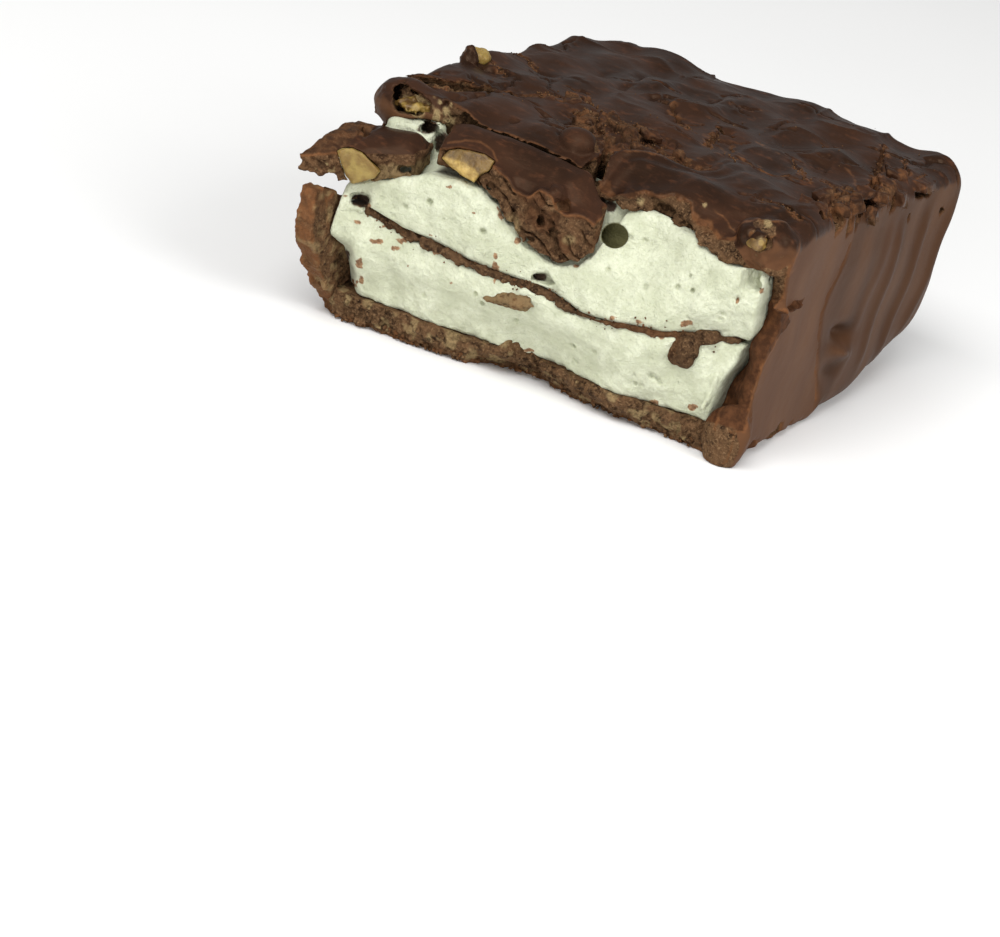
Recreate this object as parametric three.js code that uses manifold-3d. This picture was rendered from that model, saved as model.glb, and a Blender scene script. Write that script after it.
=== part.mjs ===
// Half of a chocolate covered marshmallow bar, snapped across, lying flat on its base.
// Millimetres, Z up. The broken face looks along -Y and the whole end is at +Y.
// While it is drawn, X runs 0 to 40 along the snap, Y starts at the snap and Z at the table.
import * as THREE from "three";
import { mergeVertices } from "three/addons/utils/BufferGeometryUtils.js";
import Module from "manifold-3d";

const wasm = await Module();
wasm.setup();

// Driving dimensions of the bar
const BODY_WIDTH = 40;
const BODY_BACK = 42;
const BODY_HEIGHT = 20.7;
const BODY_FRONT = -14;
const END_CORNER_RADIUS = 3.2;
const END_TOP_RADIUS = 3.5;
const END_BOTTOM_RADIUS = 7;
const END_LENGTH = 15;
const TOP_EDGE_RADIUS = 1.3;
const BOTTOM_EDGE_RADIUS = 1;

// Thicknesses of the chocolate and the gap between pieces that touch
const BASE_THICKNESS = 2.7;
const LEFT_WALL = 2;
const BACK_WALL = 2.5;
const TOP_UNDERSIDE = 17.8;
const MIDDLE_THICKNESS = 0.9;
const GAP = 0.3;
const BEYOND = 4;
const LEFT_FLANK = LEFT_WALL + GAP;

// The broken face: y of the marshmallow against x, at three heights
const FACE_LOW = [[2, -4.2], [7.4, -3.6], [11, -3.6], [14, -2.8], [17.8, -2.2], [19.7, -1], [23, -1.1],
  [28.5, -1.9], [32.7, -0.7], [35.6, 0.3], [38, 0.2]];
const FACE_MIDDLE = [[1, -8], [4, -6.4], [7, -5.2], [18, -5], [22, -4.3], [28, -4], [31, -3.2],
  [34, -1.3], [38, 0.4]];
const FACE_HIGH = [[1, -5], [5, -6], [10, -5.2], [16, -4.4], [20, -3], [24, -1.5], [28, -0.2],
  [32, -1], [36, -1.4], [38, -0.6]];
const FACE_MIDDLE_HEIGHT = 9;
const FACE_HIGH_HEIGHT = 16;

// y of the broken base at its underside and its top, and of the broken top layer
const BASE_FRONT = [[0, -2.4], [3, -4.1], [8, -3.3], [14.4, -2.3], [16.3, -0.1], [20.6, 1], [24, 0.1],
  [33, 0.2], [40, 0.6]];
const BASE_TOP_FRONT = [[0, -3.4], [3.3, -4.5], [7.4, -3.8], [11, -3.8], [14, -3], [17.8, -2.4], [19.7, -1.2],
  [23, -1.3], [28.5, -2.1], [32.7, -0.9], [35.6, 0.1], [40, 0.3]];
const TOP_FRONT = [[-1, -0.2], [1, -1], [5, -0.8], [7, 0], [20, 0], [21.5, -0.4], [24.5, -1.6],
  [28, -0.5], [31, -0.8], [34, -1.4], [38, -1], [40, 0]];
const TOP_FRONT_DIP = [[6, 0], [9, -0.5], [19, -0.5], [21.5, -1.6], [23, -1.9], [26, -1], [29, -0.9],
  [32, -1.4], [34, -2.1], [36, -1], [40, -0.3]];
const TOP_FRONT_UNDERSIDE = [[20, 17.8], [24, 18], [28, 18.3], [31, 17.8], [34.5, 16.9], [40, 17]];

// The right wall: y of its broken edge, x of its inner face and how far the break runs inward, against z
const RIGHT_WALL_FRONT = [[0, 1], [3, 1.4], [6, 0.2], [10.7, 0], [12.2, 1.3], [14.4, 1.1], [17, 0.4],
  [20.7, -0.2]];
const RIGHT_WALL_INNER = [[2.7, 36.8], [6, 37], [9, 37.8], [12, 38.6], [17.8, 38.5]];
const RIGHT_WALL_SLOPE = [[2, 0.2], [5, 1.6], [8, 3.4], [11, 1.6], [14, 0.8], [18, 0.3]];

// The left wall: its front edge behind the snap, and the shard that juts past the snap
const LEFT_WALL_FRONT = [[9, -1], [11, -0.4], [14, 1], [18, 2]];
const SHARD_FRONT = [[0, -3], [0.7, -3.4], [2.9, -5.6], [5.5, -8], [7.9, -9.9], [9.8, -10.4], [12.6, -10.5]];
const SHARD_TOP = [[-10.5, 12.5], [-7.2, 12.3], [-5.7, 10.4], [-4.5, 10.9], [-3.4, 10.2], [-0.8, 10.6],
  [3, 11]];
const SHARD_BACK = 3;

// Heights of the layers against x
const MIDDLE_LAYER = [[1, 10.4], [4, 10.6], [8, 9.6], [16, 9.4], [20, 9.7], [25, 9.1], [31, 9.6], [34, 9.9],
  [37, 10.3]];
const DROOP = [[1, 12.2], [4.5, 13.4], [7, 14.8], [9, 15.4], [13, 15.2], [15.5, 14.2], [17.5, 12], [19.5, 10.9],
  [21.5, 11.2], [23.5, 14.4], [25, 17.3], [38, 17.3]];
const DROOP_BACK = 0.6;
const DROOP_DEPTH = 3.6;
const BUBBLE = { x: 24.6, y: -1.6, z: 15.4, radius: 1.15, depth: 3.4 };

// The broken slabs of the top: corners of the upper face, left back, right back, left front, right front
const LEFT_SLAB = [[-0.3, -2, 16.7], [6.7, -0.9, 18.3], [-1, -9.6, 14.9], [7.1, -4.9, 17]];
const LEFT_SLAB_THICKNESS = 2.1;
const MIDDLE_SLAB = [[7.9, -0.8, 19.4], [21.4, -0.8, 18.8], [9.4, -4.6, 18.1], [23.4, -4.8, 16.8]];
const MIDDLE_SLAB_THICKNESS = 2.5;
const SLAB_LUMP = { x: 20.4, y: -3.4, z: 14.7, width: 7.2, depth: 3.4, height: 6, turn: -0.25 };
const SLAB_TONGUE = { x: 17, y: -4.3, z: 15.6, width: 5.4, depth: 2.2, height: 3.4, turn: 0.5 };

// Nut pieces, pale pieces on the face and lumps of chocolate
const NUT_LEFT = { x: 2.5, y: -6.8, z: 14.3, width: 4.4, depth: 3, height: 2.6, turn: 0.75 };
const NUT_MIDDLE = { x: 12.1, y: -4.6, z: 17, width: 5.2, depth: 2.4, height: 2.2, turn: 0.05 };
const NUT_CURL = { x: 3.3, y: 0.4, z: 19.4, width: 3.6, depth: 3, height: 1.1, turn: -0.12 };
const NUT_RIGHT = { x: 37.3, y: -1.3, z: 19.4, width: 2.4, depth: 2.2, height: 2, turn: 0 };
const NUT_TOP = { x: 1, y: 15.1, z: 21.2, width: 2.4, depth: 2.4, height: 1.4, turn: 0.3 };
const FRAGMENT = { x: 18.6, y: -4.8, z: 7.9, width: 4.4, depth: 1.4, height: 1.3, turn: -0.2 };
const FACE_CHUNK = { x: 33.6, y: -1.6, z: 8.4, width: 2.6, depth: 2.2, height: 2.8, turn: 0.5 };
const SMALL_CHUNK = { x: 35, y: -0.6, z: 10.1, width: 2.2, depth: 2, height: 1.4, turn: -0.3 };
const CURL_HOLLOW = { x: 2.9, y: -1, z: 19.4, width: 5.2, depth: 7, height: 2, turn: -0.12 };
const CURL_ROLL = { x: 3, y: 0.3, z: 18.9, width: 6.6, depth: 4.8, height: 4.6, turn: -0.12 };
const NUT_COLLAR = { x: 37.4, y: 0.2, z: 19.2, width: 4.8, depth: 3.6, height: 4.2, turn: 0 };
const ROUND_BUMP = { x: 18.4, y: 2.4, z: 20.5, width: 3.6, depth: 3.4, height: 2.4, turn: 0 };
const TOP_NUB = { x: 0.6, y: 13.6, z: 21, width: 1.3, depth: 1.2, height: 2.4, turn: 0 };
const FOOT = { x: 38.9, y: -0.3, z: 2, width: 4, depth: 3.2, height: 4.6, turn: 0 };
const BROKEN_SPUR = { x: 39.8, y: 0.9, z: 14.4, width: 2.2, depth: 2.8, height: 1.6, turn: 0.4 };

// The long crack across the top: its line in plan, width and depth
const CRACK_LINE = [[-3, 2.2], [0.9, 3.3], [2.4, 4.3], [4.2, 5.5], [5.8, 7.8], [7.4, 9.8]];
const CRACK_WIDTH = 1.2;
const CRACK_DEPTH = 1.8;

// Colour, roughness and metalness of each finish
const FINISHES = {
  chocolate: new THREE.MeshStandardMaterial({ color: 0x4a2f24, roughness: 0.5, metalness: 0 }),
  marshmallow: new THREE.MeshStandardMaterial({ color: 0xe9ebdc, roughness: 0.9, metalness: 0 }),
  nut: new THREE.MeshStandardMaterial({ color: 0xcdb47e, roughness: 0.6, metalness: 0 }),
};

function mix(a, b, t) {
  return a + (b - a) * t;
}

function smooth(from, to, value) {
  const t = Math.min(1, Math.max(0, (value - from) / (to - from)));
  return t * t * (3 - 2 * t);
}

// The value at x of a profile given as [x, value] stations, eased from one station to the next.
function profile(stations, x) {
  let i = 1;
  while (i < stations.length - 1 && x > stations[i][0]) {
    i += 1;
  }
  const [x0, a] = stations[i - 1];
  const [x1, b] = stations[i];
  return mix(a, b, smooth(x0, x1, x));
}

function joined(pieces) {
  return pieces.reduce((all, piece) => all.add(piece));
}

function solid(geometry) {
  geometry.deleteAttribute("normal");
  geometry.deleteAttribute("uv");
  const merged = mergeVertices(geometry, 1e-4);
  const mesh = new wasm.Mesh({
    numProp: 3,
    vertProperties: merged.attributes.position.array,
    triVerts: new Uint32Array(merged.index.array),
  });
  return new wasm.Manifold(mesh);
}

// A block of cells whose fractions (u, v, w) along X, Y and Z are each sent to a place in the bar.
function moulded(cells, place) {
  const box = new THREE.BoxGeometry(1, 1, 1, ...cells);
  const at = box.attributes.position;
  for (let i = 0; i < at.count; i += 1) {
    at.setXYZ(i, ...place(at.getX(i) + 0.5, at.getY(i) + 0.5, at.getZ(i) + 0.5));
  }
  return solid(box);
}

// A knobbly lump with the given overall sizes, turned in the XZ plane, grown by a clearance all round.
function lump(sizes, grow = 0, roughness = 0.12, detail = 2) {
  const ball = new THREE.IcosahedronGeometry(0.5, detail);
  const at = ball.attributes.position;
  const p = new THREE.Vector3();
  for (let i = 0; i < at.count; i += 1) {
    p.fromBufferAttribute(at, i);
    const knobs = Math.sin(9 * p.x + sizes.x) + Math.sin(8 * p.y + sizes.z) + Math.sin(10 * p.z + 2 * sizes.y);
    p.multiplyScalar(1 + (roughness * knobs) / 3);
    at.setXYZ(i, p.x, p.y, p.z);
  }
  ball.scale(sizes.width + 2 * grow, sizes.depth + 2 * grow, sizes.height + 2 * grow);
  ball.rotateY(sizes.turn);
  ball.translate(sizes.x, sizes.y, sizes.z);
  return solid(ball);
}

// Fraction 0 to 1 with its steps drawn closer together at the near end.
function nearFirst(t) {
  return t ** 1.8;
}

// Fraction 0 to 1 with its steps drawn closer together at both ends.
function bothEnds(t) {
  return t - (0.7 * Math.sin(2 * Math.PI * t)) / (2 * Math.PI);
}

// How far a rounded edge has drawn in at a height from the face that it rounds off.
function roundedInset(distance, radius) {
  const t = Math.min(1, Math.max(0, distance / radius));
  return radius * (1 - Math.sqrt(Math.max(0, 1 - (1 - t) * (1 - t))));
}

// The hand poured top: low ropes running across, a rise at the back and a droop towards the snap.
function topWave(x, y) {
  const ropes = 0.22 * Math.sin(0.42 * x + 0.75 * y) + 0.16 * Math.sin(0.9 * x - 0.38 * y + 1.3);
  const rise = 0.5 * smooth(14, 27, x) * smooth(38, 29, x) * smooth(22, 36, y);
  const leftRise = 0.45 * smooth(6, 0, x) * smooth(4, 9, y) * smooth(22, 15, y);
  const leftCorner = -0.5 * smooth(9, 0, x) * smooth(26, 38, y);
  const frontDip = profile(TOP_FRONT_DIP, x) * smooth(mix(2.5, 4, smooth(19, 22, x)), -0.8, y);
  return ropes + rise + leftRise + leftCorner + frontDip;
}

function sideWave(y, z) {
  const bulge = 0.25 * smooth(24, 36, y) * smooth(4, 11, z);
  return bulge + 0.15 * Math.sin(0.33 * y + 0.5) + 0.1 * Math.sin(0.7 * z + 0.2 * y);
}

// The bottom edge is crisp in front and lifts off the table in two steps towards the whole end.
function bottomRadius(y) {
  return BOTTOM_EDGE_RADIUS + 1.5 * smooth(16.5, 18.5, y) + 1.8 * smooth(24, 36, y);
}

// y of the broken marshmallow face
function face(x, z) {
  const low = profile(FACE_LOW, x);
  const middle = profile(FACE_MIDDLE, x);
  const high = profile(FACE_HIGH, x);
  const lower = mix(low, middle, smooth(BASE_THICKNESS + 0.8, FACE_MIDDLE_HEIGHT, z));
  return mix(lower, high, smooth(FACE_MIDDLE_HEIGHT, FACE_HIGH_HEIGHT, z));
}

// The whole outside of the bar, open ended past the snap so that each broken part sets its own front.
function envelope() {
  return moulded([12, 18, 8], (u, v, w) => {
    const z = BODY_HEIGHT * bothEnds(w);
    const along = mix(BODY_FRONT, BODY_BACK, 1 - nearFirst(1 - v));
    const nearEnd = Math.max(0, 1 - (BODY_BACK - along) / END_LENGTH);
    const endInset = roundedInset(z, END_BOTTOM_RADIUS) + roundedInset(BODY_HEIGHT - z, END_TOP_RADIUS);
    const y = along - endInset * nearEnd;
    const inset = roundedInset(z, bottomRadius(along)) + roundedInset(BODY_HEIGHT - z, TOP_EDGE_RADIUS)
      + roundedInset(BODY_BACK - along, END_CORNER_RADIUS) - sideWave(y, z);
    const x = mix(inset, BODY_WIDTH - inset, u);
    return [x, y, z + topWave(x, y) * smooth(0.55, 1, w)];
  });
}

function base() {
  return moulded([20, 3, 2], (u, v, w) => {
    const x = mix(-BEYOND, BODY_WIDTH + BEYOND, u);
    const ragged = 0.2 * Math.sin(2.4 * x + 2 * w);
    const front = mix(profile(BASE_FRONT, x), profile(BASE_TOP_FRONT, x), smooth(0, 0.8, w)) + ragged;
    return [x, mix(front, BODY_BACK + BEYOND, nearFirst(v)), BASE_THICKNESS * w];
  });
}

function leftWall() {
  return moulded([1, 3, 8], (u, v, w) => {
    const z = mix(0, BODY_HEIGHT + BEYOND, w);
    const y = mix(profile(LEFT_WALL_FRONT, z), BODY_BACK + BEYOND, nearFirst(v));
    return [mix(-BEYOND, LEFT_WALL, u), y, z];
  });
}

// The piece of the left wall that stayed on: thinner at its broken top and notched there.
function shard() {
  return moulded([1, 16, 6], (u, v, w) => {
    const level = mix(0, SHARD_TOP[0][1], w);
    const y = mix(profile(SHARD_FRONT, level), SHARD_BACK, v);
    const z = mix(0, profile(SHARD_TOP, y), w);
    const outer = 0.1 + 0.6 * smooth(3, 0, z);
    const inner = LEFT_WALL - 0.1 - 0.4 * smooth(8, 12, z);
    return [mix(outer, inner, u), y, z];
  });
}

function rightWall() {
  return moulded([2, 5, 12], (u, v, w) => {
    const z = mix(0, BODY_HEIGHT + BEYOND, w);
    const x = mix(profile(RIGHT_WALL_INNER, z), BODY_WIDTH + BEYOND, u * 0.9 + 0.1 * u * u);
    const inward = smooth(BODY_WIDTH - 0.5, 37, x) * profile(RIGHT_WALL_SLOPE, z);
    return [x, mix(profile(RIGHT_WALL_FRONT, z) + inward, BODY_BACK + BEYOND, nearFirst(v)), z];
  });
}

function backWall() {
  const depth = BACK_WALL + BEYOND;
  const wall = new THREE.BoxGeometry(BODY_WIDTH + 2 * BEYOND, depth, BODY_HEIGHT + BEYOND);
  wall.translate(BODY_WIDTH / 2, BODY_BACK - BACK_WALL + depth / 2, (BODY_HEIGHT + BEYOND) / 2);
  return solid(wall);
}

function topUnderside(x, y) {
  return mix(TOP_UNDERSIDE, profile(TOP_FRONT_UNDERSIDE, x), smooth(2, -0.5, y));
}

function topLayer() {
  return moulded([24, 4, 2], (u, v, w) => {
    const x = mix(-BEYOND, BODY_WIDTH + BEYOND, u);
    const roughEdge = 0.3 * Math.sin(1.9 * x + 3 * w) + 0.5 * smooth(0.7, 0, w);
    const y = mix(profile(TOP_FRONT, x) + roughEdge, BODY_BACK + BEYOND, nearFirst(v));
    return [x, y, mix(topUnderside(x, y), BODY_HEIGHT + BEYOND, w)];
  });
}

function topCrack() {
  return moulded([1, 10, 1], (u, v, w) => {
    const start = CRACK_LINE[0][0];
    const x = mix(start, CRACK_LINE[CRACK_LINE.length - 1][0], v);
    const half = 0.5 * CRACK_WIDTH * (1 - 0.8 * v ** 3) * mix(0.35, 1, w);
    const y = profile(CRACK_LINE, x) + mix(half, -half, u);
    return [x, y, mix(BODY_HEIGHT - CRACK_DEPTH, BODY_HEIGHT + BEYOND, w)];
  });
}

function chocolateShell() {
  const walls = joined([base(), leftWall(), rightWall(), backWall(), topLayer()]);
  const whole = walls.intersect(envelope());
  const lumps = joined([
    shard(),
    lump(FOOT),
    lump(BROKEN_SPUR, 0, 0.3),
    lump(CURL_ROLL),
    lump(NUT_COLLAR),
    lump(ROUND_BUMP, 0, 0.06),
    lump(TOP_NUB, 0, 0.25),
  ]);
  return whole
    .add(lumps)
    .subtract(lump(CURL_HOLLOW))
    .subtract(lump(NUT_RIGHT, GAP))
    .subtract(lump(NUT_TOP, GAP))
    .subtract(lump(NUT_CURL, GAP))
    .subtract(topCrack())
    .trimByPlane([0, 0, 1], 0);
}

function middleHeight(x, y) {
  return profile(MIDDLE_LAYER, x) + 0.2 * Math.sin(0.5 * y);
}

function rightFlank(z) {
  return profile(RIGHT_WALL_INNER, z) - GAP;
}

function lowerMarshmallow() {
  return moulded([22, 5, 4], (u, v, w) => {
    const zNominal = mix(BASE_THICKNESS, FACE_MIDDLE_HEIGHT, w);
    const xNominal = mix(LEFT_FLANK, rightFlank(zNominal), u);
    const bulge = 0.5 * Math.sin(Math.PI * w);
    const y = mix(face(xNominal, zNominal) - bulge, BODY_BACK - BACK_WALL - GAP, nearFirst(v));
    const x = xNominal;
    const top = middleHeight(x, y) - MIDDLE_THICKNESS / 2 - GAP;
    return [x, y, mix(BASE_THICKNESS + GAP, top, w)];
  });
}

function middleLayer() {
  const sheet = moulded([22, 5, 1], (u, v, w) => {
    const x = mix(LEFT_FLANK, rightFlank(FACE_MIDDLE_HEIGHT), u);
    const y0 = face(x, FACE_MIDDLE_HEIGHT);
    const y = mix(y0 + 0.25 * Math.sin(5 * u * Math.PI), BODY_BACK - BACK_WALL - GAP, nearFirst(v));
    return [x, y, middleHeight(x, y) + mix(-0.5, 0.5, w) * MIDDLE_THICKNESS];
  });
  return joined([sheet, lump(FACE_CHUNK, 0, 0.25), lump(SMALL_CHUNK, 0, 0.25)]);
}

// The top of the upper marshmallow drops in front of the snap, where the broken slabs lie on it.
function upperTop(x, y) {
  const full = topUnderside(x, y) - GAP;
  return mix(full, Math.min(full, profile(DROOP, x)), smooth(DROOP_BACK, DROOP_BACK - DROOP_DEPTH, y));
}

function upperMarshmallow() {
  return moulded([22, 5, 4], (u, v, w) => {
    const zNominal = mix(FACE_MIDDLE_HEIGHT + 1, TOP_UNDERSIDE, w);
    const xNominal = mix(LEFT_FLANK, rightFlank(zNominal), u);
    const bulge = 0.6 * Math.sin(Math.PI * w);
    const y = mix(face(xNominal, zNominal) - bulge, BODY_BACK - BACK_WALL - GAP, nearFirst(v));
    const x = xNominal;
    const bottom = middleHeight(x, y) + MIDDLE_THICKNESS / 2 + GAP;
    return [x, y, mix(bottom, upperTop(x, y), w)];
  });
}

// A broken slab of the top between four corners, bowed and ragged, grown by a clearance all round.
function slab(corners, thickness, taper, bow, grow) {
  const [leftBack, rightBack, leftFront, rightFront] = corners.map((c) => new THREE.Vector3(...c));
  return moulded([12, 5, 2], (u, v, w) => {
    const edge = Math.min(u, 1 - u, v) * 5;
    const across = new THREE.Vector3().lerpVectors(leftBack, rightBack, u);
    const near = new THREE.Vector3().lerpVectors(leftFront, rightFront, u);
    const p = near.lerp(across, v);
    const ragged = 0.45 * Math.sin(7 * u + 2.5 * w) * (1 - v);
    p.y += ragged - grow * (1 - 2 * v) - 0.5 * thickness * (1 - v) * (1 - w) * 0.4;
    p.x += grow * (2 * u - 1);
    const deep = thickness * mix(taper, 1, smooth(0, 0.45, u));
    p.z += bow * Math.sin(Math.PI * v) - 0.35 * smooth(1, 0, edge) * w + mix(-deep - grow, grow, w);
    return p.toArray();
  });
}

function leftSlab(grow) {
  return slab(LEFT_SLAB, LEFT_SLAB_THICKNESS, 0.6, 0.7, grow);
}

function middleSlab(grow) {
  return joined([
    slab(MIDDLE_SLAB, MIDDLE_SLAB_THICKNESS, 0.8, 0.5, grow),
    lump(SLAB_LUMP, grow, 0.3),
    lump(SLAB_TONGUE, grow, 0.3),
  ]);
}

function bubble() {
  const hole = new THREE.CylinderGeometry(BUBBLE.radius, BUBBLE.radius * 0.8, BUBBLE.depth, 16);
  hole.translate(BUBBLE.x, BUBBLE.y, BUBBLE.z);
  return solid(hole);
}

const parts = {
  chocolate_shell: ["chocolate", chocolateShell()],
  marshmallow_lower: ["marshmallow", lowerMarshmallow()
    .subtract(lump(FRAGMENT, GAP, 0.25))
    .subtract(lump(FACE_CHUNK, GAP, 0.25))
    .subtract(lump(SMALL_CHUNK, GAP, 0.25))],
  chocolate_middle_layer: ["chocolate", middleLayer()],
  marshmallow_upper: ["marshmallow", upperMarshmallow()
    .subtract(leftSlab(GAP))
    .subtract(middleSlab(GAP))
    .subtract(lump(NUT_LEFT, GAP))
    .subtract(lump(NUT_MIDDLE, GAP))
    .subtract(lump(CURL_ROLL, GAP))
    .subtract(lump(NUT_COLLAR, GAP))
    .subtract(lump(FACE_CHUNK, GAP, 0.25))
    .subtract(lump(SMALL_CHUNK, GAP, 0.25))
    .subtract(bubble())],
  top_slab_left: ["chocolate", leftSlab(0)
    .subtract(lump(NUT_LEFT, GAP))
    .subtract(lump(CURL_ROLL, GAP))],
  top_slab_middle: ["chocolate", middleSlab(0).subtract(lump(NUT_MIDDLE, GAP))],
  chocolate_fragment: ["chocolate", lump(FRAGMENT, 0, 0.25)],
  nut_front_left: ["nut", lump(NUT_LEFT)],
  nut_front_middle: ["nut", lump(NUT_MIDDLE)],
  nut_in_curl: ["nut", lump(NUT_CURL)],
  nut_front_right: ["nut", lump(NUT_RIGHT)],
  nut_top_left: ["nut", lump(NUT_TOP)],
};

const bar = new THREE.Group();
for (const [name, [finish, shape]] of Object.entries(parts)) {
  const made = shape.getMesh();
  const geometry = new THREE.BufferGeometry();
  geometry.setAttribute("position", new THREE.BufferAttribute(made.vertProperties, 3));
  geometry.setIndex(new THREE.BufferAttribute(made.triVerts, 1));
  const mesh = new THREE.Mesh(geometry, FINISHES[finish]);
  mesh.name = name;
  bar.add(mesh);
}

// The bar stands over the origin: the middle of its bounding box in plan, its underside at z = 0.
const bounds = new THREE.Box3().setFromObject(bar);
const middle = bounds.getCenter(new THREE.Vector3());
bar.children.forEach((mesh) => mesh.position.set(-middle.x, -middle.y, -bounds.min.z));

export default bar;
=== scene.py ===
"""Dresses the snapped half of a chocolate covered marshmallow bar.

Every form is a distance field on a grid in the bar's own millimetres (X across the snap, Y from the
snap to the whole end, Z up from the table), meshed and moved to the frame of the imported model.
"""
import math

import bpy
import numpy as np
import openvdb
from mathutils import Matrix, Vector

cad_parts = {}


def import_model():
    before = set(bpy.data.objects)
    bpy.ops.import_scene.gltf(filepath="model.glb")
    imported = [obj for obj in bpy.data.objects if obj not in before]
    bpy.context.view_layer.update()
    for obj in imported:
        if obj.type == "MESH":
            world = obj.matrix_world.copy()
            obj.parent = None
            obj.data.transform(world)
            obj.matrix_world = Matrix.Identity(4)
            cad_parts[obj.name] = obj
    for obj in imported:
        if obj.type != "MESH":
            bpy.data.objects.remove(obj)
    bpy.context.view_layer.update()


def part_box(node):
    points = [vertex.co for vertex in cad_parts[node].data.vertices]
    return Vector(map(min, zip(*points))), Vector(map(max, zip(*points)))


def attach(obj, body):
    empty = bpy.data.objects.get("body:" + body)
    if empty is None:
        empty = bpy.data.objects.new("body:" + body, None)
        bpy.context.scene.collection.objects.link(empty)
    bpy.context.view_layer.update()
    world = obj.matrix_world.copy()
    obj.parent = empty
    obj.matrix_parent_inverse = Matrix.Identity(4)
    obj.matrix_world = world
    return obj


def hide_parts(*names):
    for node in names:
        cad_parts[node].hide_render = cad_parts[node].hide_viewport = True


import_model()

# The bar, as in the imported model
BODY_WIDTH = 40
BODY_BACK = 42
BODY_HEIGHT = 20.7
BASE_THICKNESS = 2.7
LEFT_WALL = 2
BACK_WALL = 2.5
TOP_UNDERSIDE = 17.8
MIDDLE_THICKNESS = 0.9
GAP = 0.3
FLANK = LEFT_WALL + GAP

FACE_LOW = [(2, -4.2), (7.4, -3.6), (11, -3.6), (14, -2.8), (17.8, -2.2), (19.7, -1), (23, -1.1),
            (28.5, -1.9), (32.7, -0.7), (35.6, 0.3), (38, 0.2)]
FACE_MIDDLE = [(1, -8), (4, -6.4), (7, -5.2), (18, -5), (22, -4.3), (28, -4), (31, -3.2), (34, -1.3),
               (38, 0.4)]
FACE_HIGH = [(1, -5), (5, -6), (10, -5.2), (16, -4.4), (20, -3), (24, -1.5), (28, -0.2), (32, -1),
             (36, -1.4), (38, -0.6)]
BASE_FRONT = [(0, -2.4), (3, -4.1), (8, -3.3), (14.4, -2.3), (16.3, -0.1), (20.6, 1), (24, 0.1),
              (33, 0.2), (40, 0.6)]
BASE_TOP_FRONT = [(0, -3.4), (3.3, -4.5), (7.4, -3.8), (11, -3.8), (14, -3), (17.8, -2.4), (19.7, -1.2),
                  (23, -1.3), (28.5, -2.1), (32.7, -0.9), (35.6, 0.1), (40, 0.3)]
TOP_FRONT = [(-1, -0.2), (1, -1), (5, -0.8), (7, 0), (20, 0), (21.5, -0.4), (24.5, -1.6), (28, -0.5),
             (31, -0.8), (34, -1.4), (38, -1), (40, 0)]
TOP_FRONT_DIP = [(6, 0), (9, -0.7), (13, -0.6), (16.3, -0.7), (20, -1.3), (21.2, -2.4), (22, -3), (23, -2.9), (24.6, -1.9),
                 (26, -1.5), (29.8, -1.5),
                 (31.2, -2.3), (32.5, -2.8), (34.5, -2.9), (36.5, -1.2), (40, -0.3)]
TOP_FRONT_UNDERSIDE = [(20, 17.8), (24, 18), (28, 18.3), (31, 17.8), (34.5, 16.9), (40, 17)]
RIGHT_WALL_FRONT = [(0, 1), (3, 1.4), (6, 0.2), (10.7, 0), (12.2, 1.3), (14.4, 1.1), (17, 0.4),
                    (20.7, -0.2)]
RIGHT_WALL_INNER = [(2.7, 36.8), (6, 37), (9, 37.8), (12, 38.6), (17.8, 38.5)]
RIGHT_WALL_SLOPE = [(2, 0.2), (5, 1.6), (8, 3.4), (11, 1.6), (14, 0.8), (18, 0.3)]
LEFT_WALL_FRONT = [(9, -1), (11, -0.4), (14, 1), (18, 2)]
SHARD_FRONT = [(0, -3), (0.7, -3.4), (2.9, -5.6), (5.5, -8), (7.9, -9.9), (9.8, -10.4), (12.6, -10.5)]
SHARD_TOP = [(-10.5, 12.7), (-9.2, 12.6), (-8.6, 11.4), (-8.1, 11.4), (-7.2, 11.9), (-6.8, 11.9), (-6.3, 10.8),
             (-5.7, 10.3), (-4.5, 10.9), (-3.4, 10.2), (-0.8, 10.6), (3, 11)]
MIDDLE_LAYER = [(1, 10.4), (4, 11.1), (8, 10.2), (16, 9.7), (20, 9.8), (25, 9.1), (31, 9.6), (34, 9.9),
                (37, 10.3)]
DROOP = [(1, 12.4), (3, 13.4), (4.5, 13.9), (7, 14.9), (9, 15.9), (11, 16.1), (13, 16), (15, 15.2), (16.6, 14),
         (19.1, 12.6), (20.8, 12.1), (22, 12), (23.1, 12.5), (24, 13.6), (24.8, 15.2), (25.5, 17.3), (38, 17.3)]
CRACK_LINE = [(-3, 2.2), (0.9, 3.3), (2.4, 4.3), (4.2, 5.5), (5.8, 7.8), (7.4, 9.8)]

# Lumps: middle, overall sizes and turn about Y
NUT_LEFT = ((2.5, -6.8, 14.3), (4.4, 3, 2.6), 0.75)
NUT_MIDDLE = ((12.1, -4.6, 17), (5.2, 2.4, 2.2), 0.05)
NUT_CURL = ((3.3, 0.4, 19.4), (3.6, 3, 1.1), -0.12)
NUT_RIGHT = ((37.3, -1.3, 19.4), (2.4, 2.2, 2), 0)
NUT_TOP = ((1, 15.1, 21.2), (2.4, 2.4, 1.4), 0.3)
FRAGMENT = ((18.6, -4.8, 7.9), (4.4, 1.4, 1.3), -0.2)
FACE_CHUNK = ((33.6, -1.6, 8.4), (2.6, 2.2, 2.8), 0.5)
SMALL_CHUNK = ((35, -0.6, 10.1), (2.2, 2, 1.4), -0.3)
CURL_HOLLOW = ((2.9, -1, 19.4), (5.2, 7, 2), -0.12)
CURL_ROLL = ((2.85, 0.3, 18.9), (7, 4.8, 4.7), -0.12)
NUT_COLLAR = ((37.4, 0.2, 19.2), (4.8, 3.6, 4.2), 0)
ROUND_BUMP = ((18.4, 2.4, 20.5), (3.6, 3.4, 2.4), 0)
TOP_NUB = ((0.6, 13.6, 21), (1.3, 1.2, 2.4), 0)
FOOT = ((38.9, -0.3, 2), (4, 3.2, 4.6), 0)
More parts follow.
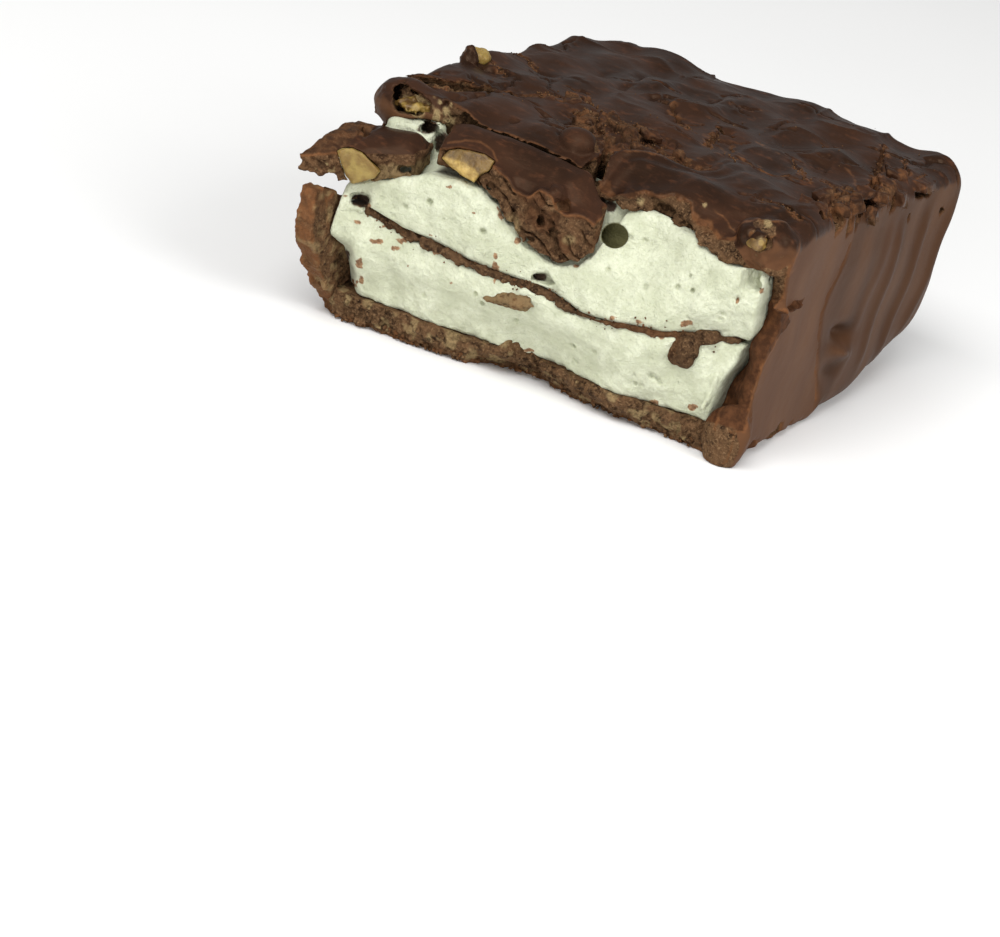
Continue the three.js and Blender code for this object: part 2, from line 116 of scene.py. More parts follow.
BROKEN_SPUR = ((39.8, 0.9, 14.4), (2.2, 2.8, 1.6), 0.4)
SLAB_LUMP = ((20.4, -3.4, 14.7), (7.2, 3.4, 6), -0.25)
SLAB_TONGUE = ((17, -4.3, 15.6), (5.4, 2.2, 3.4), 0.5)
BUBBLE = (24.6, -1.6, 15.4)

# The pieces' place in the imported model, from a node whose place in the bar is known
LAYER_LOW, LAYER_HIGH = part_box("marshmallow_lower")
OFFSET = np.array([LAYER_LOW.x * 1000 - FLANK, LAYER_HIGH.y * 1000 - (BODY_BACK - BACK_WALL - GAP), 0])

# The eye that the picture is seen from, and its directions
EYE = (115.917, -222.538, 89.139)
RIGHTWARD = (0.85183, 0.47028, 0.23071)
DOWNWARD = (0.37221, -0.2335, -0.8983)
AHEAD = (-0.36858, 0.85107, -0.37394)

RANDOM = np.random.default_rng(11)
LATTICE = (RANDOM.random((32, 32, 32)) * 2 - 1).astype(np.float32)


def mix(a, b, t):
    return a + (b - a) * t


def smooth(low, high, value):
    t = np.clip((value - low) / (high - low), 0, 1)
    return t * t * (3 - 2 * t)


def profile(stations, value):
    """The value of a profile given as (place, value) stations, eased from one to the next."""
    places = np.array([s[0] for s in stations], np.float32)
    values = np.array([s[1] for s in stations], np.float32)
    value = np.asarray(value, np.float32)
    i = np.clip(np.searchsorted(places, value), 1, len(places) - 1)
    return mix(values[i - 1], values[i], smooth(places[i - 1], places[i], value))


def noise(x, y, z, cell, seed=0):
    """Smooth noise from -1 to 1 with cells of the given size."""
    corners, weights = [], []
    for k, c in enumerate((x, y, z)):
        c = np.asarray(c, np.float32) / cell + seed * (3.7, 5.3, 7.1)[k] + 11.3 * k
        low = np.floor(c)
        t = c - low
        low = low.astype(np.int32)
        corners.append((low & 31, (low + 1) & 31))
        weights.append(t * t * t * (t * (t * 6 - 15) + 10))
    (x0, x1), (y0, y1), (z0, z1) = corners
    u, v, w = weights
    low = mix(mix(LATTICE[x0, y0, z0], LATTICE[x1, y0, z0], u),
              mix(LATTICE[x0, y1, z0], LATTICE[x1, y1, z0], u), v)
    high = mix(mix(LATTICE[x0, y0, z1], LATTICE[x1, y0, z1], u),
               mix(LATTICE[x0, y1, z1], LATTICE[x1, y1, z1], u), v)
    return mix(low, high, w)


def rough(x, y, z, cell, octaves=3, seed=0):
    """Noise with finer noise added to it, from about -1 to 1."""
    total, weight = 0.0, 1.0
    for octave in range(octaves):
        total = total + weight * noise(x, y, z, cell, seed + octave)
        x, y = 0.8 * x + 0.6 * y, -0.6 * x + 0.8 * y
        y, z = 0.8 * y + 0.6 * z, -0.6 * y + 0.8 * z
        cell, weight = cell / 2, weight / 2
    return total


def flakes(x, y, cell, seed=0):
    """Cells of random size: distance to the nearest centre, distance to the nearest edge, value of the cell."""
    x, y = np.broadcast_arrays(x / cell, y / cell)
    ix, iy = np.floor(x).astype(np.int32), np.floor(y).astype(np.int32)
    first = np.full(x.shape, 9.0, np.float32)
    second = first.copy()
    value = np.zeros(x.shape, np.float32)
    for i in (-1, 0, 1):
        for j in (-1, 0, 1):
            cx, cy = (ix + i) & 31, (iy + j) & 31
            dx = ix + i + 0.5 + 0.45 * LATTICE[cx, cy, seed] - x
            dy = iy + j + 0.5 + 0.45 * LATTICE[cx, cy, seed + 1] - y
            d = np.sqrt(dx * dx + dy * dy)
            nearer = d < first
            second = np.where(nearer, first, np.minimum(second, d))
            value = np.where(nearer, LATTICE[cx, cy, seed + 2], value)
            first = np.where(nearer, d, first)
    return first * cell, (second - first) * cell, value


def rounded(a, b, radius):
    """Where two solids meet, with the edge between them rounded."""
    return np.minimum(np.maximum(a, b), -radius) + np.sqrt(
        np.maximum(a + radius, 0) ** 2 + np.maximum(b + radius, 0) ** 2)


def melted(a, b, width):
    """Two solids joined, with the crease between them filled."""
    h = np.clip(0.5 + 0.5 * (b - a) / width, 0, 1)
    return mix(b, a, h) - width * h * (1 - h)


def carved(a, b, width):
    """The first solid without the second, with a softened edge."""
    return -melted(-a, b, width)


def to_line(x, y, points):
    """Distance in a plane to a broken line."""
    best = np.full(np.broadcast(x, y).shape, 99.0, np.float32)
    for (x0, y0), (x1, y1) in zip(points, points[1:]):
        dx, dy = x1 - x0, y1 - y0
        t = np.clip(((x - x0) * dx + (y - y0) * dy) / (dx * dx + dy * dy), 0, 1)
        best = np.minimum(best, np.hypot(x - x0 - t * dx, y - y0 - t * dy))
    return best


def inside(x, y, points):
    """Distance in a plane to a closed outline, negative inside it."""
    away = to_line(x, y, points + points[:1])
    odd = np.zeros(away.shape, bool)
    for (x0, y0), (x1, y1) in zip(points, points[1:] + points[:1]):
        crosses = (y0 > y) != (y1 > y)
        at = x0 + (y - y0) * (x1 - x0) / (y1 - y0 if y1 != y0 else 1)
        odd ^= crosses & (x < at)
    return np.where(odd, -away, away)


def seen(x, y, z):
    """Where a place shows in the picture, in pixels."""
    away = [c - e for c, e in zip((x, y, z), EYE)]
    across, down, far = (sum(c * w for c, w in zip(away, way)) for way in (RIGHTWARD, DOWNWARD, AHEAD))
    return 500 + 3000 * across / far, 468.5 + 3000 * down / far


class Grid:
    def __init__(self, low, high, step):
        self.low = np.array(low, np.float32)
        self.step = step
        counts = [int(math.ceil((b - a) / step)) + 1 for a, b in zip(low, high)]
        self.x, self.y, self.z = (
            (self.low[k] + step * np.arange(n, dtype=np.float32)).reshape([-1 if i == k else 1 for i in range(3)])
            for k, n in enumerate(counts))
        self.shape = tuple(counts)

    def sample(self, field, points):
        """The field at points in millimetres, between the grid's corners."""
        field = np.broadcast_to(field, self.shape)
        at = (points - self.low) / self.step
        top = np.array(self.shape) - 2
        low = np.clip(np.floor(at).astype(np.int32), 0, top)
        t = np.clip(at - low, 0, 1)
        i, j, k = low.T
        u, v, w = t.T
        def line(j, k):
            return mix(field[i, j, k], field[i + 1, j, k], u)
        return mix(mix(line(j, k), line(j + 1, k), v), mix(line(j, k + 1), line(j + 1, k + 1), v), w)


def lump(g, shape, grow=0.0, roughness=0.12):
    (x, y, z), sizes, turn = shape
    a, b, c = (s / 2 + grow for s in sizes)
    dx, dy, dz = g.x - x, g.y - y, g.z - z
    lx = dx * math.cos(turn) - dz * math.sin(turn)
    lz = dx * math.sin(turn) + dz * math.cos(turn)
    px, py, pz = lx / a, dy / b, lz / c
    q = np.sqrt(px * px + py * py + pz * pz) + 1e-6
    knobs = np.sin(4.5 * px / q + x) + np.sin(4 * py / q + z) + np.sin(5 * pz / q + 2 * y)
    slope = np.sqrt((px / a) ** 2 + (py / b) ** 2 + (pz / c) ** 2) + 1e-6
    return q * (q - 1 - roughness * knobs / 3) / slope


def surface(g, field):
    """Points and triangles of the field's zero surface, its largest body alone."""
    limit = 3 * g.step
    volume = openvdb.FloatGrid(background=limit)
    volume.copyFromArray(np.ascontiguousarray(np.clip(np.broadcast_to(field, g.shape), -limit, limit), np.float32))
    points, triangles, quads = volume.convertToPolygons(isovalue=0.0, adaptivity=0.0)
    faces = np.concatenate([quads[:, [0, 1, 2]], quads[:, [0, 2, 3]], triangles]).astype(np.int64)
    label = np.arange(len(points))
    while True:
        low = label[faces].min(1)
        fresh = label.copy()
        for k in range(3):
            np.minimum.at(fresh, faces[:, k], low)
        fresh = fresh[fresh]
        if (fresh == label).all():
            break
        label = fresh
    names, counts = np.unique(label, return_counts=True)
    keep = label == names[counts.argmax()]
    order = np.cumsum(keep) - 1
    faces = order[faces[keep[faces[:, 0]]]]
    points = points[keep] * g.step + g.low
    a, b, c = points[faces[:, 0]], points[faces[:, 1]], points[faces[:, 2]]
    if np.einsum("ij,ij->i", a, np.cross(b, c)).sum() < 0:
        faces = faces[:, ::-1]
    return points, faces


def window(g, middle, reach):
    """The part of the grid within reach of a point, as slices and as its own axes."""
    cut = []
    for k in range(3):
        low = int(max(0, (middle[k] - reach - g.low[k]) // g.step))
        high = int(min(g.shape[k], (middle[k] + reach - g.low[k]) // g.step + 2))
        cut.append(slice(low, max(low, high)))
    return tuple(cut), g.x[cut[0]], g.y[:, cut[1]], g.z[:, :, cut[2]]


def block(x, y, z, middle, sizes, angles, seed):
    """An angular broken block, turned by the angles about Z and then X."""
    dx, dy, dz = x - middle[0], y - middle[1], z - middle[2]
    c, s = math.cos(angles[0]), math.sin(angles[0])
    dx, dy = c * dx + s * dy, -s * dx + c * dy
    c, s = math.cos(angles[1]), math.sin(angles[1])
    dy, dz = c * dy + s * dz, -s * dy + c * dz
    a, b, c = (size / 2 for size in sizes)
    d = rounded(rounded(np.abs(dx + 0.3 * dz) - a, np.abs(dy + 0.25 * dx) - b, 0.1), np.abs(dz) - c, 0.1)
    return d - 0.12 * rough(x, y, z, 0.6, 2, seed)


def stamp(g, body, mark, middle, sizes, angles, seed, cut=False, width=0.1):
    """Adds a block to the body, or cuts one out of it, and marks the place as broken."""
    at, x, y, z = window(g, middle, max(sizes) * 0.9 + 0.6)
    d = block(x, y, z, middle, sizes, angles, seed)
    body[at] = carved(body[at], d, width) if cut else melted(body[at], d, width)
    mark[at] = np.maximum(mark[at], smooth(0.25, 0.0, d))


def thinned(points, faces, most, hidden=None):
    """The same surface with at most the given number of triangles, fewer of them where it is hidden."""
    if len(faces) <= most:
        return points, faces
    mesh = bpy.data.meshes.new("thinned")
    mesh.from_pydata(points, [], faces)
    piece = bpy.data.objects.new("thinned", mesh)
    bpy.context.scene.collection.objects.link(piece)
    fewer = piece.modifiers.new("fewer", "DECIMATE")
    fewer.ratio = most / len(faces)
    if hidden is not None:
        group = piece.vertex_groups.new(name="hidden")
        group.add(np.nonzero(hidden)[0].tolist(), 1.0, "REPLACE")
        fewer.vertex_group = "hidden"
        fewer.vertex_group_factor = 4
    done = piece.evaluated_get(bpy.context.evaluated_depsgraph_get()).to_mesh()
    at = np.zeros(len(done.vertices) * 3, np.float32)
    done.vertices.foreach_get("co", at)
    done.calc_loop_triangles()
    corners = np.zeros(len(done.loop_triangles) * 3, np.int32)
    done.loop_triangles.foreach_get("vertices", corners)
    bpy.data.objects.remove(piece)
    bpy.data.meshes.remove(mesh)
    return at.reshape(-1, 3), corners.reshape(-1, 3)


def piece(name, points, faces, look, nodes, slot, **values):
    """A smooth piece of the bar from millimetres, with values for its look at each point."""
    mesh = bpy.data.meshes.new(name)
    mesh.from_pydata(((points + OFFSET) / 1000).tolist(), [], faces.tolist())
    mesh.shade_smooth()
    for key, value in values.items():
        mesh.attributes.new(key, "FLOAT", "POINT").data.foreach_set("value", np.asarray(value, np.float32))
    made = bpy.data.objects.new(name, mesh)
    bpy.context.scene.collection.objects.link(made)
    mesh.materials.append(look)
    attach(made, "root")
    if nodes:
        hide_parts(*nodes)
    print(name, len(faces), "triangles")
    return made


# Looks

class Look:
    """A material built from nodes, with the place on the bar in millimetres."""

    def __init__(self, name):
        self.material = bpy.data.materials.new(name)
        self.material.use_nodes = True
        self.tree = self.material.node_tree
        self.tree.nodes.clear()
        self.shader = self.tree.nodes.new("ShaderNodeBsdfPrincipled")
        output = self.tree.nodes.new("ShaderNodeOutputMaterial")
        self.tree.links.new(self.shader.outputs[0], output.inputs[0])
        place = self.tree.nodes.new("ShaderNodeTexCoord")
        scaled = self.tree.nodes.new("ShaderNodeVectorMath")
        scaled.operation = "SCALE"
        scaled.inputs[3].default_value = 1000
        self.tree.links.new(place.outputs["Object"], scaled.inputs[0])
        self.place = scaled.outputs[0]

    def feed(self, socket, value):
        if isinstance(value, bpy.types.NodeSocket):
            self.tree.links.new(value, socket)
        else:
            socket.default_value = value

    def stretched(self, x, y, z):
        node = self.tree.nodes.new("ShaderNodeVectorMath")
        node.operation = "MULTIPLY"
        self.feed(node.inputs[0], self.place)
        node.inputs[1].default_value = (x, y, z)
        return node.outputs[0]

    def noise(self, size, detail=3.0, roughness=0.5, place=None):
        node = self.tree.nodes.new("ShaderNodeTexNoise")
        self.feed(node.inputs["Vector"], place or self.place)
        node.inputs["Scale"].default_value = 1 / size
        node.inputs["Detail"].default_value = detail
        node.inputs["Roughness"].default_value = roughness
        return node.outputs[0]

    def cells(self, size):
        node = self.tree.nodes.new("ShaderNodeTexVoronoi")
        self.feed(node.inputs["Vector"], self.place)
        node.inputs["Scale"].default_value = 1 / size
        return node.outputs["Distance"]

    def value(self, name):
        node = self.tree.nodes.new("ShaderNodeAttribute")
        node.attribute_name = name
        return node.outputs["Fac"]

    def math(self, operation, *values):
        node = self.tree.nodes.new("ShaderNodeMath")
        node.operation = operation
        for socket, value in zip(node.inputs, values):
            self.feed(socket, value)
        return node.outputs[0]

    def step(self, value, low, high, start=0.0, end=1.0):
        node = self.tree.nodes.new("ShaderNodeMapRange")
        node.interpolation_type = "SMOOTHSTEP"
        for socket, number in zip(node.inputs, (value, low, high, start, end)):
            self.feed(socket, number)
        return node.outputs[0]

    def colour(self, share, a, b):
        node = self.tree.nodes.new("ShaderNodeMix")
        node.data_type = "RGBA"
        self.feed(node.inputs[0], share)
        self.feed(node.inputs[6], a)
        self.feed(node.inputs[7], b)
        return node.outputs[2]

    def blend(self, share, a, b):
        node = self.tree.nodes.new("ShaderNodeMix")
        self.feed(node.inputs[0], share)
        self.feed(node.inputs[2], a)
        self.feed(node.inputs[3], b)
        return node.outputs[0]

    def bump(self, height, depth, strength=1.0, under=None):
        """Relief of the given depth in millimetres."""
        node = self.tree.nodes.new("ShaderNodeBump")
        self.feed(node.inputs["Strength"], strength)
        node.inputs["Distance"].default_value = depth / 1000
        self.feed(node.inputs["Height"], height)
        if under is not None:
            self.feed(node.inputs["Normal"], under)
        return node.outputs[0]

    def set(self, **inputs):
        for name, value in inputs.items():
            self.feed(self.shader.inputs[name.replace("_", " ")], value)


def rgb(red, green, blue):
    """A colour from screen values 0 to 255."""
    def linear(value):
        value /= 255
        return value / 12.92 if value <= 0.04045 else ((value + 0.055) / 1.055) ** 2.4
    return (linear(red), linear(green), linear(blue), 1)


def chocolate_look():
    """Poured skin, smooth side and broken chocolate: the values at each point say which."""
    k = Look("chocolate")
    broad, fine, speck = k.noise(6, 3), k.noise(0.8, 5, 0.6), k.noise(0.22, 3, 0.6)
    flow = k.noise(0.5, 4, 0.55, k.stretched(0.3, 0.8, 1))
    skin = k.colour(k.step(broad, 0.35, 0.65), rgb(38, 23, 15), rgb(54, 33, 22))
    skin = k.colour(k.step(fine, 0.5, 0.75, 0, 0.4), skin, rgb(80, 49, 33))
    skin = k.colour(k.step(flow, 0.56, 0.72, 0, 0.45), skin, rgb(92, 56, 36))
    side = k.colour(k.step(k.noise(5, 3, 0.5, k.stretched(1, 1, 0.4)), 0.3, 0.7), rgb(84, 56, 38), rgb(97, 67, 46))
    side = k.colour(k.step(speck, 0.6, 0.8, 0, 0.25), side, rgb(112, 78, 50))
    poured = k.colour(k.value("side"), skin, side)
    grain = k.noise(0.5, 6, 0.65)
    broken = k.colour(k.step(grain, 0.36, 0.62), rgb(42, 29, 20), rgb(106, 80, 56))
    broken = k.colour(k.step(k.noise(1.3, 3), 0.42, 0.6, 0, 0.5), broken, rgb(118, 88, 62))
    broken = k.colour(k.step(speck, 0.5, 0.7, 0, 0.75), broken, rgb(148, 116, 84))
    smooth_break = k.colour(k.step(fine, 0.35, 0.65), rgb(56, 34, 21), rgb(84, 53, 33))
    broken = k.colour(k.value("warm"), broken, smooth_break)
    wobble = k.math("MULTIPLY", k.math("SUBTRACT", fine, 0.5), 0.5)
    share = k.step(k.math("ADD", k.value("broken"), wobble), 0.35, 0.65)
    base = k.colour(share, poured, broken)
    base = k.colour(k.math("MULTIPLY", k.value("rim"), k.step(fine, 0.3, 0.6, 0.3, 1)), base, rgb(116, 76, 47))
    # painted shade in folds, dents, creases, gaps and pits, and a darker tone in places
    base = k.colour(k.math("MULTIPLY", k.value("shade"), 0.75), base, rgb(34, 21, 14))
    base = k.colour(k.math("MULTIPLY", k.value("pale"), k.step(grain, 0.35, 0.55, 0.25, 1)), base, rgb(178, 156, 112))
    low = k.bump(k.noise(0.45, 3), 0.02, 0.4, under=k.bump(flow, 0.06, k.blend(k.value("side"), 0.8, 0.1)))
    crumbly = k.math("MULTIPLY", share, k.blend(k.value("warm"), 1.0, 0.25))
    high = k.bump(grain, 0.45, crumbly, under=k.bump(speck, 0.2, crumbly, under=low))
    poured_rough = k.blend(k.value("side"), k.step(broad, 0.3, 0.7, 0.34, 0.5), 0.52)
    k.set(Specular_Tint=(1, 0.68, 0.46, 1), Specular_IOR_Level=k.blend(k.value("side"), 0.23, 0.1))
    k.set(Base_Color=base, Roughness=k.blend(share, poured_rough, 0.8), Normal=high)
    k.shader.inputs["IOR"].default_value = 1.42
    return k.material


def marshmallow_look():
    k = Look("marshmallow")
    pores = k.cells(0.26)
    big = k.cells(0.8)
    cloud = k.noise(1.4, 6, 0.65)
    white = k.colour(k.step(cloud, 0.35, 0.65), rgb(199, 202, 176), rgb(217, 220, 195))
    white = k.colour(k.step(k.noise(3.2, 4, 0.6), 0.42, 0.62, 0, 0.5), white, rgb(182, 186, 156))
    white = k.colour(k.step(k.noise(0.22, 3, 0.6), 0.36, 0.5, 0.4, 0), white, rgb(186, 190, 156))
    # painted shade in the pores
    white = k.colour(k.step(pores, 0.02, 0.14, 0.4, 0), white, rgb(180, 184, 150))
    smear = k.colour(k.step(k.noise(0.35, 4, 0.6), 0.35, 0.65), rgb(116, 82, 54), rgb(164, 128, 92))
    white = k.colour(k.step(k.math("ADD", k.value("stain"), k.math("SUBTRACT", k.noise(0.3, 4, 0.65), 0.5)), 0.3, 0.9), white, smear)
    # painted shade inside the burst bubble, and painted shadow in the hollows and deep recesses
    white = k.colour(k.value("hollow"), white, rgb(122, 118, 78))
    white = k.colour(k.value("dark"), white, rgb(66, 46, 30))
    k.set(Base_Color=white, Roughness=0.8)
    height = k.math("ADD", k.step(pores, 0.02, 0.14), k.math("MULTIPLY", k.step(big, 0.04, 0.16), 0.5))
    k.set(Normal=k.bump(height, 0.1, 0.9, under=k.bump(k.noise(0.3, 4, 0.7), 0.22, 0.9, under=k.bump(cloud, 0.6, 0.9))))
    k.shader.subsurface_method = "RANDOM_WALK"
    k.shader.inputs["Subsurface Weight"].default_value = 0.2
    k.shader.inputs["Subsurface Radius"].default_value = (1.0, 0.95, 0.8)
    k.shader.inputs["Subsurface Scale"].default_value = 0.0003
    return k.material


def nut_look():
    k = Look("nut")
    grain = k.noise(0.7, 4, 0.6)
    flesh = k.colour(k.step(k.noise(1.1, 3), 0.35, 0.65), rgb(118, 92, 38), rgb(146, 124, 62))
    flesh = k.colour(k.value("dark"), flesh, k.colour(k.step(grain, 0.35, 0.65), rgb(76, 52, 20), rgb(112, 84, 36)))
    flesh = k.colour(k.value("pale"), flesh, k.colour(k.step(grain, 0.35, 0.65), rgb(136, 108, 46), rgb(180, 150, 82)))
    k.set(Base_Color=flesh, Roughness=0.5, Normal=k.bump(grain, 0.25, 0.7))
    k.shader.inputs["Subsurface Weight"].default_value = 0.25
    k.shader.inputs["Subsurface Radius"].default_value = (1.0, 0.7, 0.3)
    k.shader.inputs["Subsurface Scale"].default_value = 0.0006
    return k.material


CHOCOLATE = chocolate_look()
MARSHMALLOW = marshmallow_look()
NUT = nut_look()


# The forms of the bar

def face(x, z):
    low, middle, high = profile(FACE_LOW, x), profile(FACE_MIDDLE, x), profile(FACE_HIGH, x)
    front = mix(mix(low, middle, smooth(BASE_THICKNESS + 0.8, 9, z)), high, smooth(9, 16, z))
    front = front - 0.9 * np.exp(-((x - 24.2) / 2.2) ** 2 - ((z - 15.6) / 1.9) ** 2)
    return front + 2.2 * smooth(4.4, 2, x) * smooth(8.6, 6.4, z)


def top_wave(x, y):
    ropes = 0.22 * np.sin(0.42 * x + 0.75 * y) + 0.16 * np.sin(0.9 * x - 0.38 * y + 1.3)
    rise = 0.5 * smooth(14, 27, x) * (1 - smooth(29, 38, x)) * smooth(22, 36, y)
    left = 0.45 * (1 - smooth(0, 6, x)) * smooth(4, 9, y) * (1 - smooth(15, 22, y))
    corner = -0.5 * (1 - smooth(0, 9, x)) * smooth(26, 38, y)
    dip = profile(TOP_FRONT_DIP, x) * (1 - smooth(-0.8, mix(2.5, 4, smooth(19, 22, x)), y))
    return ropes + rise + left + corner + dip


# Lines on the top where the skin is broken: points, width, depth
TOP_SCARS = [
    ([(7.2, 9.6), (8.8, 12), (10.2, 13.2), (11.7, 14.2), (13.4, 13.6), (16, 13.2), (19, 12.6), (22, 10.4)], 0.22, 0.3),
    ([(13.5, 10.2), (16.2, 9.4), (18.5, 6.4), (19.8, 4.6)], 0.3, 0.5),
    ([(22, 8.8), (23.2, 7.6), (24.8, 7.2), (26.2, 8), (27, 9.6)], 0.35, 0.5),
    ([(0.7, 15.2), (2, 15.6), (4.8, 13.3)], 0.3, 0.4),
    ([(15.6, 24.6), (17.5, 22.9), (19.6, 20.6)], 0.3, 0.4),
    ([(20, 19.6), (21.4, 17.2)], 0.3, 0.4),
    ([(23, 20.6), (23.4, 18.5), (23.9, 16.2)], 0.3, 0.4),
    ([(25.1, 19), (26.6, 16.6)], 0.16, 0.2),
    ([(31, 19.2), (32.4, 17.6), (33.9, 15.2)], 0.2, 0.3),
    ([(27.6, 15.1), (30.2, 14.6), (34.4, 15.1)], 0.14, 0.15),
    ([(0.6, 21.5), (2.6, 21.6), (4.4, 20.2)], 0.3, 0.3),
    ([(33.2, 36), (34.6, 32), (36.4, 26), (37.2, 24.2)], 0.3, 0.5),
    ([(36.2, 33.5), (38, 29.5), (38.6, 27)], 0.25, 0.5),
    ([(37.2, 24.2), (38.2, 20.6), (38.9, 17), (39.6, 13.2)], 0.4, 0.8),
    ([(35.2, 17.2), (36.8, 15), (38.2, 11.6), (39.2, 7)], 0.25, 0.35),
    ([(34, 5.4), (36, 4.9), (37.6, 3.6), (38.6, 3.3)], 0.25, 0.4),
]
# The same where the skin is cracked open, and how far the crack leans back
TOP_CRACKS = [
    (CRACK_LINE, 0.32, 2.2, 0.8),
    ([(20.2, 4.4), (20.9, 1.5), (20.7, -2.4)], 0.55, 2.6, 0),
    ([(22.6, 8.4), (24.4, 7.5), (26.2, 8.2)], 0.3, 1.2, 0.5),
    ([(38, 21.5), (38.9, 18)], 0.25, 1.2, 0.4),
    ([(37.2, 10.4), (38.6, 8.6)], 0.25, 1.2, 0.4),
    ([(38.8, 33), (39.2, 28.6)], 0.22, 1.2, 0),
    ([(33.8, 5.1), (36, 4.9), (38.6, 3.6)], 0.16, 0.8, 0.4),
    ([(22.3, 21.9), (24.2, 20.6)], 0.3, 1, 0.5),
]
# Short tears that run with the pour
TEARS = []
for start in range(36):
    place = RANDOM.uniform((2, 4), (38, 38))
    way = RANDOM.normal(-0.3, 0.4)
    step = RANDOM.uniform(0.5, 1.2)
    TEARS.append([(place[0] + i * step * math.cos(way + 0.3 * i), place[1] + i * step * math.sin(way + 0.3 * i)) for i in range(3)])
SIDE_SEAM = [(13.9, 17.6), (12.2, 14), (11.7, 11.6), (12.4, 9), (14.6, 5.2), (17.1, 2.2)]
RIGHT_PLATEAU = [(21.2, -4), (20.7, 1.6), (21.4, 4.6), (23.6, 6), (26, 6.4), (27.6, 8.2), (28.4, 12.6),
                 (33, 16), (44, 16), (44, -4)]


